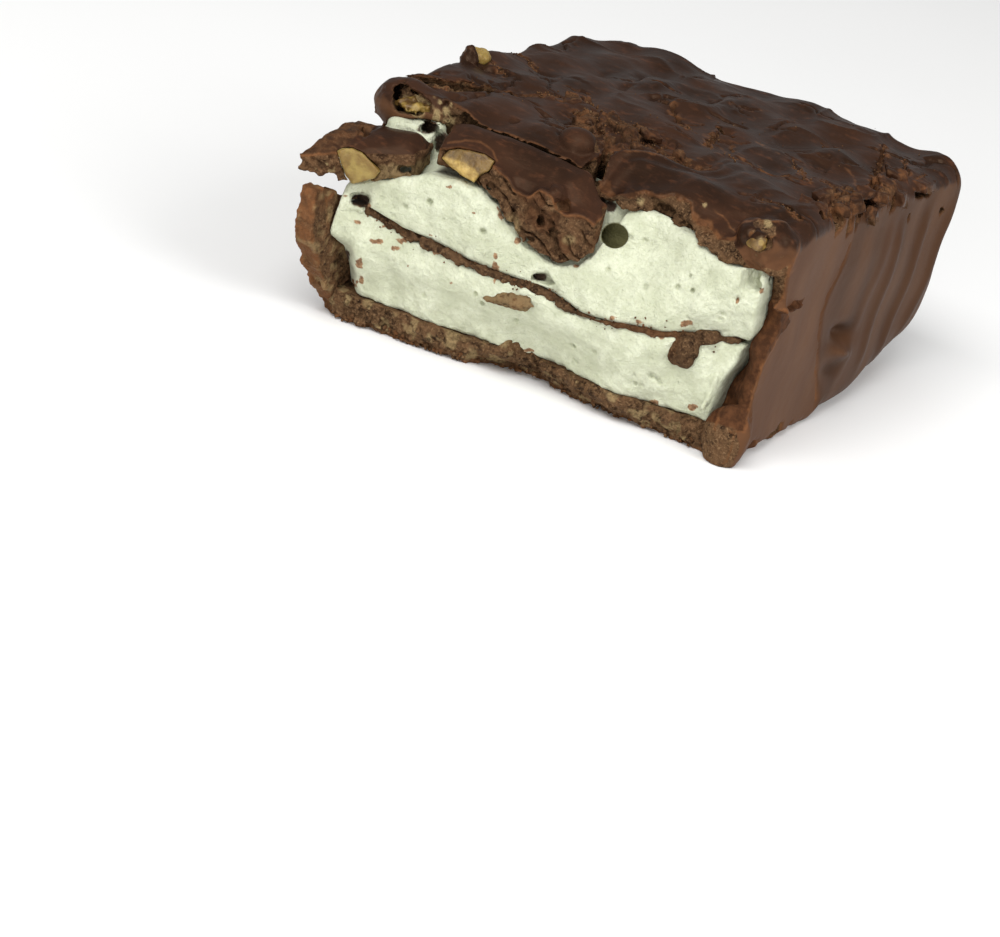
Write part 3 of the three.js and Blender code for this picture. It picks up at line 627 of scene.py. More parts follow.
def top_relief(x, y):
    """Height of the poured top, and how far each place on it is broken or edged."""
    height = BODY_HEIGHT + top_wave(x, y)
    wx = x + 1.2 * noise(x, y, 0, 7, 1) + 0.3 * noise(x, y, 0, 1.8, 2)
    wy = y + 1.2 * noise(x, y, 0, 7, 3) + 0.3 * noise(x, y, 0, 1.8, 4)
    fold = 1 - np.abs(noise(0.8 * wx, wy, 0, 5.2, 5))
    height = height + 0.34 * (fold ** 3 - 0.35) + 0.13 * noise(wx, wy, 0, 2.8, 6) + 0.06 * noise(0.6 * wx, wy, 0, 1.2, 10)
    crack_y = profile([(-3, 2.2), (0.9, 3.3), (2.4, 4.3), (4.2, 5.5), (5.8, 7.8), (7.4, 9.8)], x)
    height = height - 0.7 * smooth(3, 0, np.abs(crack_y - 0.2 - y)) * (y < crack_y - 0.1) * smooth(7.6, 5.4, x) * smooth(-1, 0.6, x)
    seam = noise(0.9 * wx, wy, 0, 5.6, 12) + 0.12 * noise(x, y, 0, 1.3, 14) + 0.05 * noise(x, y, 0, 0.5, 15)
    torn_open = smooth(-0.1, 0.35, noise(x, y, 0, 3.2, 13))
    crease = smooth(0.07, 0.0, np.abs(seam)) * torn_open
    height = height - 0.3 * crease + 0.13 * (0.3 + torn_open) * np.exp(-((seam - 0.13) / 0.11) ** 2)
    height = height + 0.012 * rough(x, y, 0, 0.8, 2, 7)
    swell = to_line(wx, wy, [(20.7, 1.2), (21.4, 4.6), (23.6, 6), (26, 6.4), (27.6, 8.2), (28.6, 12.6)])
    height = height + 0.16 * np.sin(3.2 * swell) * np.exp(-(swell / 2.6) ** 2)
    shelf = to_line(wx, wy, [(22, -0.8), (24.5, -1.8), (28, -0.8), (34, -1.4), (37, 0.6)])
    height = height + 0.14 * np.sin(2.9 * shelf - 1) * np.exp(-(shelf / 3.2) ** 2) * smooth(21, 23, x)
    plateau = inside(wx, wy, RIGHT_PLATEAU)
    height = height + 0.4 * smooth(0.2, -0.2, plateau) * smooth(15, 8, y)
    _, edge, value = flakes(x + 0.4 * noise(x, y, 0, 1.1, 8), y, 1.3, 3)
    _, small, tiny = flakes(x, y + 0.3 * noise(x, y, 0, 0.9, 9), 0.6, 9)
    rubble = (smooth(5.2, 3, np.hypot((wx - 18.4) / 1.1, wy - 9.6))
              + smooth(2.4, 1.4, np.hypot(wx - 11.6, (wy - 13.4) * 1.4))
              + smooth(2.2, 1.2, np.hypot(wx - 24.4, (wy - 8.2) * 1.3))
              + smooth(36.4, 37.8, wx) * smooth(6.5, 9, y) * smooth(26, 23, y))
    rubble = np.clip(rubble, 0, 1)
    plates = 0.42 * value - 0.4 * smooth(0.16, 0, edge) + 0.1 * tiny * smooth(0, 0.1, small)
    height = height + rubble * (plates + 0.04 * rough(x, y, 0, 0.5, 2, 9))
    broken = 0.6 * rubble * smooth(0.1, 0.5, value + smooth(0.3, 0, edge) + 0.5 * tiny)
    rim = rubble * smooth(0.32, 0.22, edge) * smooth(0.1, 0.18, edge) * 0.45
    crease = np.maximum(crease, rubble * smooth(0.14, 0.02, edge))
    for k, (points, width, depth) in enumerate(TOP_SCARS):
        jag = 0.3 * noise(x, y, 0, 0.7, 20 + k) + 0.2 * noise(x, y, 0, 0.3, 40 + k)
        away = to_line(x + jag, y + 0.25 * noise(x, y, 0, 0.5, 30 + k), points) + 0.08 * rough(x, y, 0, 0.4, 2, k)
        lip = np.exp(-((away - width * 1.15) / (0.3 * width + 0.1)) ** 2)
        gouge = smooth(width, 0.25 * width, away)
        height = height - depth * gouge + 0.12 * lip * (0.5 + noise(x, y, 0, 0.6, 50 + k))
        broken = np.maximum(broken, gouge)
        rim = np.maximum(rim, lip * smooth(-0.1, 0.5, noise(x, y, 0, 0.9, 60 + k)) * 0.8)
    for k, points in enumerate(TEARS):
        away = to_line(x + 0.35 * noise(x, y, 0, 0.7, 80 + k), y + 0.25 * noise(x, y, 0, 0.4, 100 + k), points)
        height = height + 0.02 * np.exp(-((away - 0.3) / 0.2) ** 2) - 0.2 * np.exp(-(away / (0.1 + 0.08 * noise(x, y, 0, 0.9, 120 + k))) ** 2)
        rim = np.maximum(rim, 0.3 * smooth(0.12, 0.04, np.abs(away - 0.24)) * smooth(-0.2, 0.4, noise(x, y, 0, 0.5, 90 + k)))
    pits = [(8.1, 25.9, 0.5, 1.6, 0.35), (10.7, 28.6, 0.5, 2.2, 0.5), (9.8, 28.9, 0.5, 1, 0.3), (11.3, 23.8, 0.5, 1.5, 0.45),
            (23, 21.2, 0.7, 0.9, 0.6), (3.5, 26.2, 1.6, 0.5, 0.3), (31, 24.4, 0.5, 1, 0.25), (15.6, 2.2, 0.35, 0.7, 0.6),
            (5.4, 19.4, 1, 0.6, 0.3)]
    for px, py, sx, sy, depth in pits:
        height = height - depth * np.exp(-((wx - px) / sx) ** 2 - ((wy - py) / sy) ** 2)
    return height, broken, rim, crease


# Upright folds in the sides: place, lean and depth
RIGHT_FOLDS = [(21, 0.3, 0.14), (25, 0.12, 0.3), (31, 0.2, 0.36), (36, 0.25, 0.3)]
LEFT_FOLDS = [(4, -0.15, 0.2), (10, 0.2, 0.34), (16.5, 0.3, 0.22), (23, -0.1, 0.36), (29, 0.2, 0.3), (34.5, 0.1, 0.34)]
END_FOLDS = [(5, 0.1, 0.24), (10.5, -0.2, 0.34), (18, 0.15, 0.3), (24, 0.3, 0.2), (30, -0.1, 0.36), (35, 0.1, 0.24)]


def folded(along, z, folds):
    height = 0
    for at, lean, depth in folds:
        height = height + depth * np.exp(-((along - at - lean * (z - 8)) / 0.9) ** 2) * smooth(2, 6, z) * smooth(19, 15, z)
    return height


def right_relief(y, z):
    """How far the right side bulges, and how far it is broken or edged."""
    bulge = 0.25 * smooth(24, 36, y) * smooth(4, 11, z) + 0.15 * np.sin(0.33 * y + 0.5) + 0.1 * np.sin(0.7 * z + 0.2 * y)
    bulge = bulge + 0.1 * noise(y, 0.3 * z, 0, 3.4, 71) + 0.06 * noise(y, z, 0, 6, 72) + 0.008 * rough(y, z, 0, 0.9, 2, 73)
    bulge = bulge + folded(y, z, RIGHT_FOLDS)
    seam = to_line(y + 0.15 * noise(y, z, 0, 0.9, 74), z, SIDE_SEAM)
    line = profile([(2.2, 17.1), (5.2, 14.6), (9, 12.4), (11.6, 11.7), (14, 12.2), (17.6, 13.9)], z)
    bulge = bulge + 0.16 * smooth(-0.3, 0.6, y - line) * smooth(18, 15, z) - 0.1 * smooth(0.18, 0.02, seam)
    u = (y - 18.4) * 0.96 - (z - 8.2) * 0.27
    v = (y - 18.4) * 0.27 + (z - 8.2) * 0.96
    bulge = bulge - 1.2 * np.exp(-(u / 2.5) ** 2 - (v / 0.85) ** 2)
    bulge = bulge + 0.8 * np.exp(-((u + 0.1) / 2.2) ** 2 - ((v + 1.5) / 0.6) ** 2)
    bulge = bulge - 0.45 * np.exp(-((u + 0.3) / 1.8) ** 2 - ((v + 3.2) / 0.7) ** 2)
    rim = smooth(0.2, 0.04, seam) * smooth(9, 4, z) * 0.7
    return bulge, rim


def outside(g):
    """The bar before the snap, and the height of its top."""
    x, y, z = g.x, g.y, g.z
    height = top_relief(x, y)[0]
    bulge = right_relief(y, z)[0]
    left_bulge = (0.25 * smooth(24, 36, y) * smooth(4, 11, z) + 0.15 * np.sin(0.33 * y + 0.5)
                  + 0.1 * np.sin(0.7 * z + 0.2 * y) + 0.14 * noise(y, 0.3 * z, 0, 3.1, 81) + 0.12 * noise(y, z, 0, 5, 78)
                   + 0.01 * rough(y, z, 0, 0.9, 2, 82) + folded(y, z, LEFT_FOLDS)
                   - 0.8 * np.exp(-((y - 26.4 - 0.2 * z) / 1.9) ** 2 - ((z - 9.6) / 0.8) ** 2)
                   + 0.4 * np.exp(-((y - 26 - 0.2 * z) / 2) ** 2 - ((z - 8) / 0.7) ** 2))
    end_bulge = 0.25 * noise(x, 0.4 * z, 0, 4, 83) + 0.015 * rough(x, z, 0, 1, 2, 84) + folded(x, z, END_FOLDS) - 0.15
    sides = np.maximum(x - BODY_WIDTH - bulge, -x - left_bulge)
    plan = rounded(sides, y - BODY_BACK - end_bulge, 3.2 + 1.3 * smooth(3, 8, z) * smooth(18, 13, z))
    lift = 1 + 1.5 * smooth(16.5, 18.5, y) + 2.3 * smooth(24, 30, y) + 2.6 * smooth(30, 38, y)
    low = rounded(plan, -z - 0.02 * rough(x, y, 0, 0.7, 2, 85), lift)
    return rounded(low, z - height, 1.3 + 2.2 * smooth(36, 42, y)), height


# Broken blocks on the edge between top and right side: middle, sizes, turns, and whether one is cut out
EDGE_BLOCKS = [
    ((39.6, 9.8, 20.2), (1.6, 2.2, 1.6), (0.3, 0.4), True),
    ((39.9, 12.6, 19.4), (1.2, 1.3, 1.6), (-0.2, 0.2), True),
    ((39.2, 11.4, 20.7), (1.4, 1.8, 0.8), (0.5, -0.2), False),
    ((39.6, 16.2, 20.4), (1.5, 2.4, 1.0), (0.1, -0.3), True),
    ((39.1, 14.3, 20.8), (1.6, 1.6, 1.0), (-0.5, 0.5), False),
    ((39.4, 18.9, 20.6), (1.8, 2.2, 0.9), (0.4, -0.45), False),
    ((40.0, 17.2, 19.5), (0.9, 1.2, 1.2), (0.2, 0.9), False),
    ((38.6, 17.4, 21.1), (1.5, 2.0, 0.7), (-0.3, 0.3), False),
    ((39.9, 22.4, 19.6), (1.0, 1.0, 1.4), (0.2, 0.1), True),
    ((39.6, 24.4, 19.8), (1.5, 3.0, 1.3), (0.15, -0.2), False),
    ((38.7, 23.2, 20.9), (1.6, 1.4, 0.8), (0.6, 0.3), False),
    ((39.8, 29.6, 19.4), (1.4, 4.4, 0.5), (0.1, -0.12), True),
    ((39.6, 30.4, 20.1), (1.6, 4.2, 0.8), (0.12, -0.1), False),
    ((39.7, 36, 17.2), (1.0, 1.0, 0.8), (0.1, 0.3), True),
    ((40.1, 27.5, 17.6), (0.8, 0.5, 0.9), (0, 0.4), True),
    ((37.5, 8.4, 20.9), (2.0, 1.6, 0.9), (0.4, 0.35), False),
    ((36.9, 12.3, 21.1), (1.4, 2.0, 0.8), (-0.4, 0.25), False),
    ((37.9, 27.4, 20.9), (2.0, 1.5, 0.8), (0.7, 0.3), False),
    ((38.3, 5.2, 20.2), (1.4, 1.1, 0.9), (0.5, -0.4), False),
    ((38.9, 7.0, 20.6), (1.2, 1.0, 1.3), (0.1, 0.2), True),
]
# The same on the rest of the top, where plates are lifted out of the skin
TOP_BLOCKS = [
    ((17.2, 10.6, 20.9), (2.2, 1.6, 0.8), (0.4, 0.3), False),
    ((19.3, 9.2, 21.1), (1.8, 1.5, 0.9), (-0.3, -0.35), False),
    ((20.6, 11.3, 21.0), (1.9, 1.2, 0.7), (0.8, 0.3), False),
    ((22.3, 9.9, 21.0), (1.6, 1.3, 0.9), (0.2, 0.5), False),
    ((15.3, 8.4, 20.8), (1.6, 1.2, 0.6), (0.6, -0.3), False),
    ((16.4, 12.4, 20.9), (1.3, 1.0, 0.7), (-0.4, 0.4), False),
    ((18.3, 12.2, 20.7), (0.9, 0.8, 1.0), (0.2, 0.2), True),
    ((21.2, 8.1, 20.6), (1.4, 0.9, 1.1), (0.5, 0.1), True),
    ((11.5, 13.6, 21.0), (1.2, 0.9, 0.8), (0.6, 0.3), False),
    ((12.7, 14.2, 21.0), (0.9, 0.8, 0.7), (-0.5, 0.4), False),
    ((24.6, 8.8, 20.9), (1.2, 0.9, 0.7), (0.3, 0.3), False),
]


def coating():
    g = Grid((-1.3, -5, -0.4), (41.9, 43, 23.2), 0.17)
    x, y, z = g.x, g.y, g.z
    outer, height = outside(g)

    recess = 0.9 * smooth(37.8, 37.2, x)
    base = np.maximum(z - BASE_THICKNESS, profile(BASE_FRONT, x) + recess + 0.15 * rough(x, z, 0, 0.6, 2, 91) - y)
    left = np.maximum(x - LEFT_WALL, profile(LEFT_WALL_FRONT, z) + 0.3 * rough(z, x, 0, 1, 3, 93) - y)
    inner = profile(RIGHT_WALL_INNER, z)
    inward = smooth(39.5, 37, x) * profile(RIGHT_WALL_SLOPE, z)
    edge_y = profile(RIGHT_WALL_FRONT, z) + inward + 0.1 * rough(x, z, 0, 1.6, 3, 94) + 0.08 * np.sin(1.7 * z)
    right = np.maximum(inner - x + 0.2 * noise(z, y, 0, 1.4, 95), edge_y - y)
    back = BODY_BACK - BACK_WALL - y
    under = mix(TOP_UNDERSIDE, profile(TOP_FRONT_UNDERSIDE, x), smooth(2, -0.5, y)) + 0.25 * rough(x, y, 0, 0.9, 2, 96)
    level = np.clip((z - under) / (height - under), 0, 1)
    _, edge, value = flakes(x, z, 0.8, 6)
    right_part = smooth(20.4, 22, x)
    uneven = 1 - 0.7 * smooth(7, 9, x) * (1 - right_part)
    lid_edge = (profile(TOP_FRONT, x) - 0.7 * smooth(9, 15, x) * smooth(21.5, 20, x)
                + uneven * (0.25 * np.sin(1.9 * x + 3 * level) + 0.24 * rough(x, z, 0, 0.8, 3, 97) + 0.2 * smooth(0.25, 0, edge) + 0.15 * value))
    lid_edge = lid_edge + 1.2 * right_part * smooth(0.35, 1, level) + 1.9 * (1 - right_part) * smooth(0.95, 0.82, level) * smooth(7, 9, x)
    lid_edge = lid_edge + 2.2 * np.exp(-((x - 28) / 1.4) ** 2 - ((z - 18.6) / 0.5) ** 2) + 1.4 * np.exp(-((x - 30.6) / 0.7) ** 2 - ((z - 18) / 0.4) ** 2)
    lid = np.maximum(under - z, lid_edge - y)
    walls = np.minimum(np.minimum(np.minimum(base, left), np.minimum(right, back)), lid)
    body = np.maximum(walls, outer)
    chip = (x - 39 - 0.7 * z) * 0.8 + 0.4 * rough(y, z, 0, 1.6, 3, 86) - 4 * smooth(15.4, 16.6, y) - 0.5 * smooth(3, 0, y)
    body = np.maximum(body, chip)

    foot = lump(g, ((38.8, -0.2, 2.3), (4, 3.2, 6), 0.05), 0, 0.1) - 0.06 * rough(x, y, z, 0.9, 2, 87)
    body = melted(body, foot, 0.9)
    body = melted(body, lump(g, BROKEN_SPUR, -0.35, 0.4), 0.3)
    spur = lump(g, ((39.9, 3.4, 13.9), (1.2, 4.8, 0.5), 0), 0, 0.25) - 0.12 * rough(x, y, z, 0.7, 2, 90)
    body = melted(body, spur, 0.15)
    body = melted(body, lump(g, CURL_ROLL) - 0.12 * rough(x, y, 0 * z, 1.1, 2, 88), 0.6)
    body = melted(body, lump(g, NUT_COLLAR, 0, 0.2) - 0.15 * rough(x, y, 0, 1, 2, 89), 0.6)
    body = melted(body, lump(g, ((18.2, 1.9, 20.75), (3.4, 3.2, 2.7), 0), 0, 0.05), 0.2)
    nub = lump(g, ((0.8, 13.6, 20.9), (1.7, 1.5, 2.5), 0), 0, 0.15) - 0.16 * rough(x, y, z, 0.7, 2, 108)
    body = melted(body, nub, 0.2)
    for middle, size in (((14.9, 1, 20.5), 0.7), ((15.6, 2.4, 20.75), 0.9), ((16.2, 1.6, 20.6), 0.6)):
        body = melted(body, lump(g, (middle, (size, size, size), 0), 0, 0.3), 0.1)

    at, wx, wy, wz = window(g, (3.2, -1, 19.4), 5)
    u, v = seen(wx, wy, wz)
    jag = 0.25 * rough(wx, wy, wz, 0.8, 3, 102)
    mouth = inside(u, v, CURL_MOUTH) / PIXELS + jag
    body[at] = carved(body[at], np.maximum(np.maximum(mouth, wy - 1.7), 0.65 - wx), 0.15)
    under_lip = np.maximum(inside(u, v, CURL_BELOW) / PIXELS + 0.5 * jag, wy - 1.6)
    body[at] = carved(body[at], under_lip, 0.15)
    lip = np.maximum(inside(u, v, CURL_LIP) / PIXELS + jag, np.abs(wy - 0.1) - 0.9 - jag)
    body[at] = melted(body[at], lip, 0.2)
    bits = np.maximum(inside(u, v, CURL_BITS) / PIXELS + 2.5 * jag - 0.2, np.abs(wy - 0.9) - 0.9)
    body[at] = melted(body[at], bits, 0.15)
    for middle, sizes in (((37.4, -2.1, 19.9), (2.4, 2.8, 1.9)), ((37.5, -1.4, 21.4), (1.3, 1.2, 1))):
        body = carved(body, lump(g, (middle, sizes, 0.2), 0, 0.35), 0.2)
    for middle, sizes in (((37.2, -1.3, 19.8), (1.1, 1.1, 1)), ((37.5, -1.1, 21.3), (0.9, 0.8, 0.6))):
        body = melted(body, lump(g, (middle, sizes, 0.2), 0, 0.4), 0.1)
    for k, (line, width, depth, lean) in enumerate(TOP_CRACKS):
        middle = [sum(p[i] for p in line) / len(line) for i in (0, 1)]
        at, cx, cy, cz = window(g, (*middle, 19.8), 3.4 + max(np.ptp([p[i] for p in line]) / 2 for i in (0, 1)))
        low = height[at[:2]] - cz
        jag = 0.25 * noise(cx, cy, 0, 0.8, 220 + k) + 0.12 * noise(cx, cy, 0, 0.35, 240 + k)
        gap = to_line(cx + jag, cy - lean * low + 0.2 * noise(cx, cy, 0, 0.6, 230 + k), line)
        gap = gap - width * (1 + 0.4 * noise(cx, cy, 0, 1.7, 250 + k)) - 0.1 * noise(cx, cy, 2 * cz, 0.5, 260 + k)
        body[at] = np.maximum(body[at], -np.maximum(gap, low - depth))
    body = carved(body, lump(g, NUT_TOP, -0.1), 0.1)
    body = carved(body, lump(g, ((38.1, -0.6, 16.2), (1.6, 3, 1.9), 0.3), 0, 0.4), 0.2)
    mark = np.zeros(g.shape, np.float32)
    for k, (middle, sizes, angles, cut) in enumerate(EDGE_BLOCKS + TOP_BLOCKS):
        stamp(g, body, mark, middle, sizes, angles, 200 + k, cut)
    body = np.maximum(body, -z)
    points, faces = surface(g, body)
    deep = -g.sample(outer, points)
    hidden = ((deep > 1.4) & (points[:, 1] > 3.5)) | ((points[:, 2] < 0.1) & (points[:, 1] > 1))
    points, faces = thinned(points, faces, 198000, hidden)

    depth = -g.sample(outer, points)
    px, py, pz = points.T
    top_height, top_broken, top_rim, creased = top_relief(px, py)
    side_rim = right_relief(py, pz)[1] * (px > 20)
    near_top = smooth(1.4, 0.4, np.abs(pz - top_height))
    on_spur = smooth(0.3, 0, g.sample(spur, points))
    lumps = np.minimum.reduce([g.sample(lump(g, s, 0.15), points) for s in (CURL_ROLL, NUT_COLLAR, ROUND_BUMP, TOP_NUB)])
    broken = smooth(0.1, 0.28, depth) * smooth(0.15, 0.35, np.abs(lumps))
    broken = np.maximum(broken, smooth(0.12, 0.3, np.abs(lumps)) * smooth(0, -0.3, lumps))
    rim = np.exp(-((depth - 0.12) / 0.13) ** 2) * smooth(0.3, 0.6, broken + 0.3 * (lumps > 0.3))
    broken = np.maximum(broken, top_broken * near_top)
    rim = np.maximum(rim, top_rim * near_top)
    on_edge = np.abs(g.sample(lid, points)) + 1.2 * np.maximum(depth - 0.1, 0)
    rim = np.maximum(rim, 0.6 * smooth(0.3, 0.1, on_edge) * smooth(0.5, 0.2, depth) * smooth(6, 8, px) * smooth(1.5, 0.5, py))
    marked = g.sample(mark, points)
    broken = np.maximum(broken, np.maximum(on_spur, 0.6 * marked * smooth(-0.2, 0.4, noise(px, py, pz, 1.1, 210))))
    rim = np.maximum(rim, np.maximum(on_spur * 0.2, marked * 0.4) * smooth(0.3, 0.55, noise(px, py, pz, 0.45, 211)))
    drip = 0.3 * noise(px + py, pz, 0, 1.6, 217) + 0.2 * noise(px + py, pz, 0, 0.6, 218)
    side = smooth(0.75, 1.35, top_height - pz + drip)
    rim = np.maximum(rim, side_rim * side)
    warm = smooth(36.3, 36.8, px) * smooth(16.5, 14, pz) * smooth(38.2, 39, px + 3 * smooth(2.4, 3.4, pz)) * smooth(8, 5, py)
    warm = np.maximum(warm, 0.95 * np.maximum(top_broken, marked) * near_top)
    u, v = seen(px, py, pz)
    ragged = noise(px, py, pz, 0.5, 212)
    wall = inside(u + 1.5 * ragged, v + 2 * noise(px, py, pz, 1.1, 213), WALL_BREAK)
    at_front = smooth(6.5, 6, py) * smooth(34, 35, px)
    broken = np.maximum(broken, smooth(1, -1, wall) * at_front)
    warm = mix(warm, 1, smooth(1, -1, wall) * at_front)
    side = side * (1 - smooth(1, -1, wall) * at_front)
    rim = np.maximum(rim * (1 - smooth(1, -1, wall) * at_front), 0.8 * smooth(1.6, 0.6, np.abs(wall)) * at_front * smooth(-0.4, 0.2, noise(px, py, pz, 0.9, 214)))
    foot_left = smooth(1, -1, inside(u + 2 * ragged, v, FOOT_BREAK)) * at_front
    broken = np.maximum(broken, foot_left)
    warm = warm * (1 - foot_left)
    pale = smooth(0.1, -0.2, inside(u, v, CURL_BITS) / PIXELS + 0.8 * ragged) * smooth(-3, -2.4, py) * smooth(3.4, 2.8, py) * smooth(-0.4, 0.3, noise(px, py, pz, 0.45, 128)) * 0.75
    for spot_x, spot_y, size in ((761, 241, 6), (767, 222, 4.5), (445, 112, 5), (449, 121, 4), (640, 201, 4), (612, 205, 4), (705, 205, 2)):
        spot = np.hypot(u - spot_x, v - spot_y) / size + 0.5 * ragged
        pale = np.maximum(pale, 0.65 * smooth(1.2, 0.6, spot) * smooth(3, 2, py))
    broken = np.maximum(broken, pale)
    top_skin = smooth(1.5, 0.5, top_height - pz)
    for line, width in FINE_LINES:
        off = to_line(u + 1.5 * ragged, v + 1.5 * noise(px, py, pz, 0.7, 215), line)
        rim = np.maximum(rim, 0.6 * smooth(0.9 * width, 0.2 * width, off) * top_skin * smooth(-0.45, 0.1, noise(px, py, pz, 0.5, 216)))
    # Painted shade: the sides darker all over, more so in bands along the upright folds, right of the seam and in the
    # dents of the right side, but lighter on the bulge below the dent where the light catches it; the top darker in its
    # creases and rubble gaps, plus darker patches of tone at random; and painted shade on the deep broken faces in the
    # gap at the middle slab.
    past = py - profile([(2.2, 17.1), (5.2, 14.6), (9, 12.4), (11.6, 11.7), (14, 12.2), (17.6, 13.9)], pz)
    past = np.where(px > 30, past, 1)
    along = np.where(py > BODY_BACK - 2, px + 20, py)
    folds = 0.5 + 0.5 * np.sin(1.15 * (along - 0.2 * pz) + 1.5 * noise(along, pz, 0, 5, 219))
    dent = np.exp(-((py - 18.6) / 2) ** 2 - ((pz - 8.9) / 0.9) ** 2)
    low_dent = np.exp(-((py - 17.6) / 1.7) ** 2 - ((pz - 5) / 0.9) ** 2)
    shade = side * np.clip((0.3 + 0.28 * folds) * smooth(0, 0.5, past) + (px > 30) * (0.35 * dent + 0.3 * low_dent), 0, 1)
    shade = shade * (1 - 0.9 * np.exp(-((py - 18.3) / 2.2) ** 2 - ((pz - 7.1) / 0.5) ** 2))
    shade = np.maximum(shade, (0.75 * creased + 0.45 * smooth(-0.1, 0.5, noise(px, py, 0, 4.5, 109))) * near_top * (1 - side))
    shade = np.maximum(shade, 0.6 * smooth(0.6, 1.6, depth) * smooth(6, 8, px) * smooth(21.5, 20.5, px) * smooth(5, 3, py) * smooth(14, 16, pz))
    piece("coating", points, faces, CHOCOLATE, ["chocolate_shell"], "chocolate_coating",
          broken=broken, rim=rim, side=side, warm=warm, pale=pale, shade=shade)


def base_front():
    g = Grid((0.4, -6.4, -0.3), (38, 3.4, 4.2), 0.095)
    x, y, z = g.x, g.y, g.z
    front = mix(profile(BASE_FRONT, x), profile(BASE_TOP_FRONT, x), smooth(0, 0.8, z / BASE_THICKNESS))
    first, edge, value = flakes(x, z + 0.3 * y, 0.5, 12)
    grain = 0.36 * rough(x, y, z, 1.3, 2, 300) + 0.2 * rough(x, y, z, 0.55, 3, 302)
    front = front + grain - 0.2 * smooth(0.28, 0.05, first) * (0.6 + value) + 0.12 * smooth(0.15, 0, edge)
    front = front + 0.7 * np.exp(-((x - 18) / 0.9) ** 2 - ((z - 0.9) / 0.8) ** 2)
    front = front + 0.9 * np.exp(-((x - 20.4) / 0.7) ** 2 - ((z - 1.5) / 1) ** 2)
    ragged = 0.35 * smooth(0.7, 0, z) * (0.3 + np.abs(rough(x, y, 0, 0.9, 2, 305)))
    top = BASE_THICKNESS - 0.04 + 0.12 * noise(x, y, 0, 1.2, 92) + 1 * np.exp(-((x - 19) / 1.2) ** 4) * smooth(0.5, -1, y)
    body = rounded(z - top, front + ragged - y, 0.12)
    body = np.maximum(body, np.maximum(-z, y - 3))
    body = np.maximum(body, np.maximum(0.7 - x, x - 37.7))
    body = carved(body, lump(g, ((37.1, -0.6, 2.5), (1.2, 2.4, 1.3), 0)), 0.15)
    points, faces = surface(g, body)
    points, faces = thinned(points, faces, 150000, (points[:, 1] > 1.6) | ((points[:, 2] < 0.02)))
    px, py, pz = points.T
    rim = smooth(0.9, 0.2, pz) * smooth(-0.1, 0.4, noise(px, py, pz, 0.7, 306)) * smooth(30, 18, px)
    rim = np.maximum(rim, smooth(0.45, 0.1, pz) * 0.7)
    ones = np.ones(len(points))
    pale = 0.5 * smooth(0.1, 0.5, noise(px, py, pz, 0.9, 307)) * smooth(0.2, 0.7, pz)
    piece("base_break", points, faces, CHOCOLATE, ["chocolate_shell"], "chocolate_broken",
          broken=ones, rim=rim, side=0 * ones, warm=0 * ones, pale=pale)


def shard():
    g = Grid((-1.2, -11.4, -0.3), (3.4, 4, 13.4), 0.095)
    x, y, z = g.x, g.y, g.z
    shard_top = profile(SHARD_TOP, y) + 0.15 * rough(y, 0 * z, 0, 0.8, 2, 98)
    shard_face = 1.95 - 0.4 * smooth(8, 12, z) + 0.14 * rough(y, z, 0, 1.8, 3, 99) + 0.1 * rough(y, z, 0, 0.4, 3, 103) * smooth(10, 7, z)
    shard_face = shard_face - 0.6 * np.exp(-((y + 8.6) / 0.4) ** 2 - ((z - 8.4) / 0.45) ** 2)
    shard_face = shard_face - 0.35 * np.exp(-((y + 4.3) / 0.8) ** 2 - ((z - 5.4) / 0.7) ** 2)
    shard_outer = 0.1 + 0.6 * smooth(3, 0, z) + 0.06 * noise(y, z, 0, 2, 100)
    body = rounded(x - shard_face, z - shard_top, 0.15)
    body = np.maximum(body, shard_outer - x)
    body = rounded(body, profile(SHARD_FRONT, z) + 0.16 * rough(z, y, 0, 0.9, 4, 101) + 0.16 * rough(x, z, y, 0.6, 3, 106) - y, 0.2)
    body = body - 0.07 * rough(x, y, z, 0.45, 2, 107)
    body = np.maximum(np.maximum(body, y - 3), -z)
    points, faces = thinned(*surface(g, body), 60000)
    px, py, pz = points.T
    outer = smooth(0.5, 0.2, px - 0.6 * smooth(3, 0, pz))
    edge = np.minimum(profile(SHARD_TOP, py) - pz, py - profile(SHARD_FRONT, pz))
    rim = smooth(0.4, 0.05, edge) * 0.8 + 0.5 * np.exp(-((py + 7.9 + 0.2 * (pz - 9)) / 0.12) ** 2) * smooth(7, 9, pz)
    warm = 0.25 + 0.5 * smooth(9.5, 12, pz - 0.35 * py - 3)
    u, v = seen(px, py, pz)
    dark_spot = smooth(1.2, 0.6, np.hypot((u - 341) / 8, (v - 261) / 9) + 0.4 * noise(px, py, pz, 0.6, 104))
    piece("shard", points, faces, CHOCOLATE, ["chocolate_shell"], "chocolate_coating",
          broken=1 - outer, rim=np.clip(rim, 0, 1) * (1 - dark_spot), side=outer, warm=warm * (1 - dark_spot),
          pale=0.35 * smooth(0.1, 0.7, noise(px, py, pz, 0.7, 105)) * (1 - outer))


def middle_height(x, y):
    return profile(MIDDLE_LAYER, x) + 0.2 * np.sin(0.5 * y)


MIDDLE_HALF = [(2, 0.34), (4, 0.42), (9, 0.4), (16, 0.32), (19, 0.24), (21, 0.3), (23.4, 0.32), (24.8, 0.13), (27, 0.1),
               (30, 0.14), (33, 0.22), (35.5, 0.16), (38, 0.3)]


def torn(x, z, seed):
    """The soft, torn relief of broken marshmallow, towards the snap."""
    return (0.26 * noise(x, z, 0, 2.8, seed) + 0.14 * noise(x, z, 0, 1.3, seed + 1)
            + 0.06 * rough(x, z, 0, 0.6, 2, seed + 2))


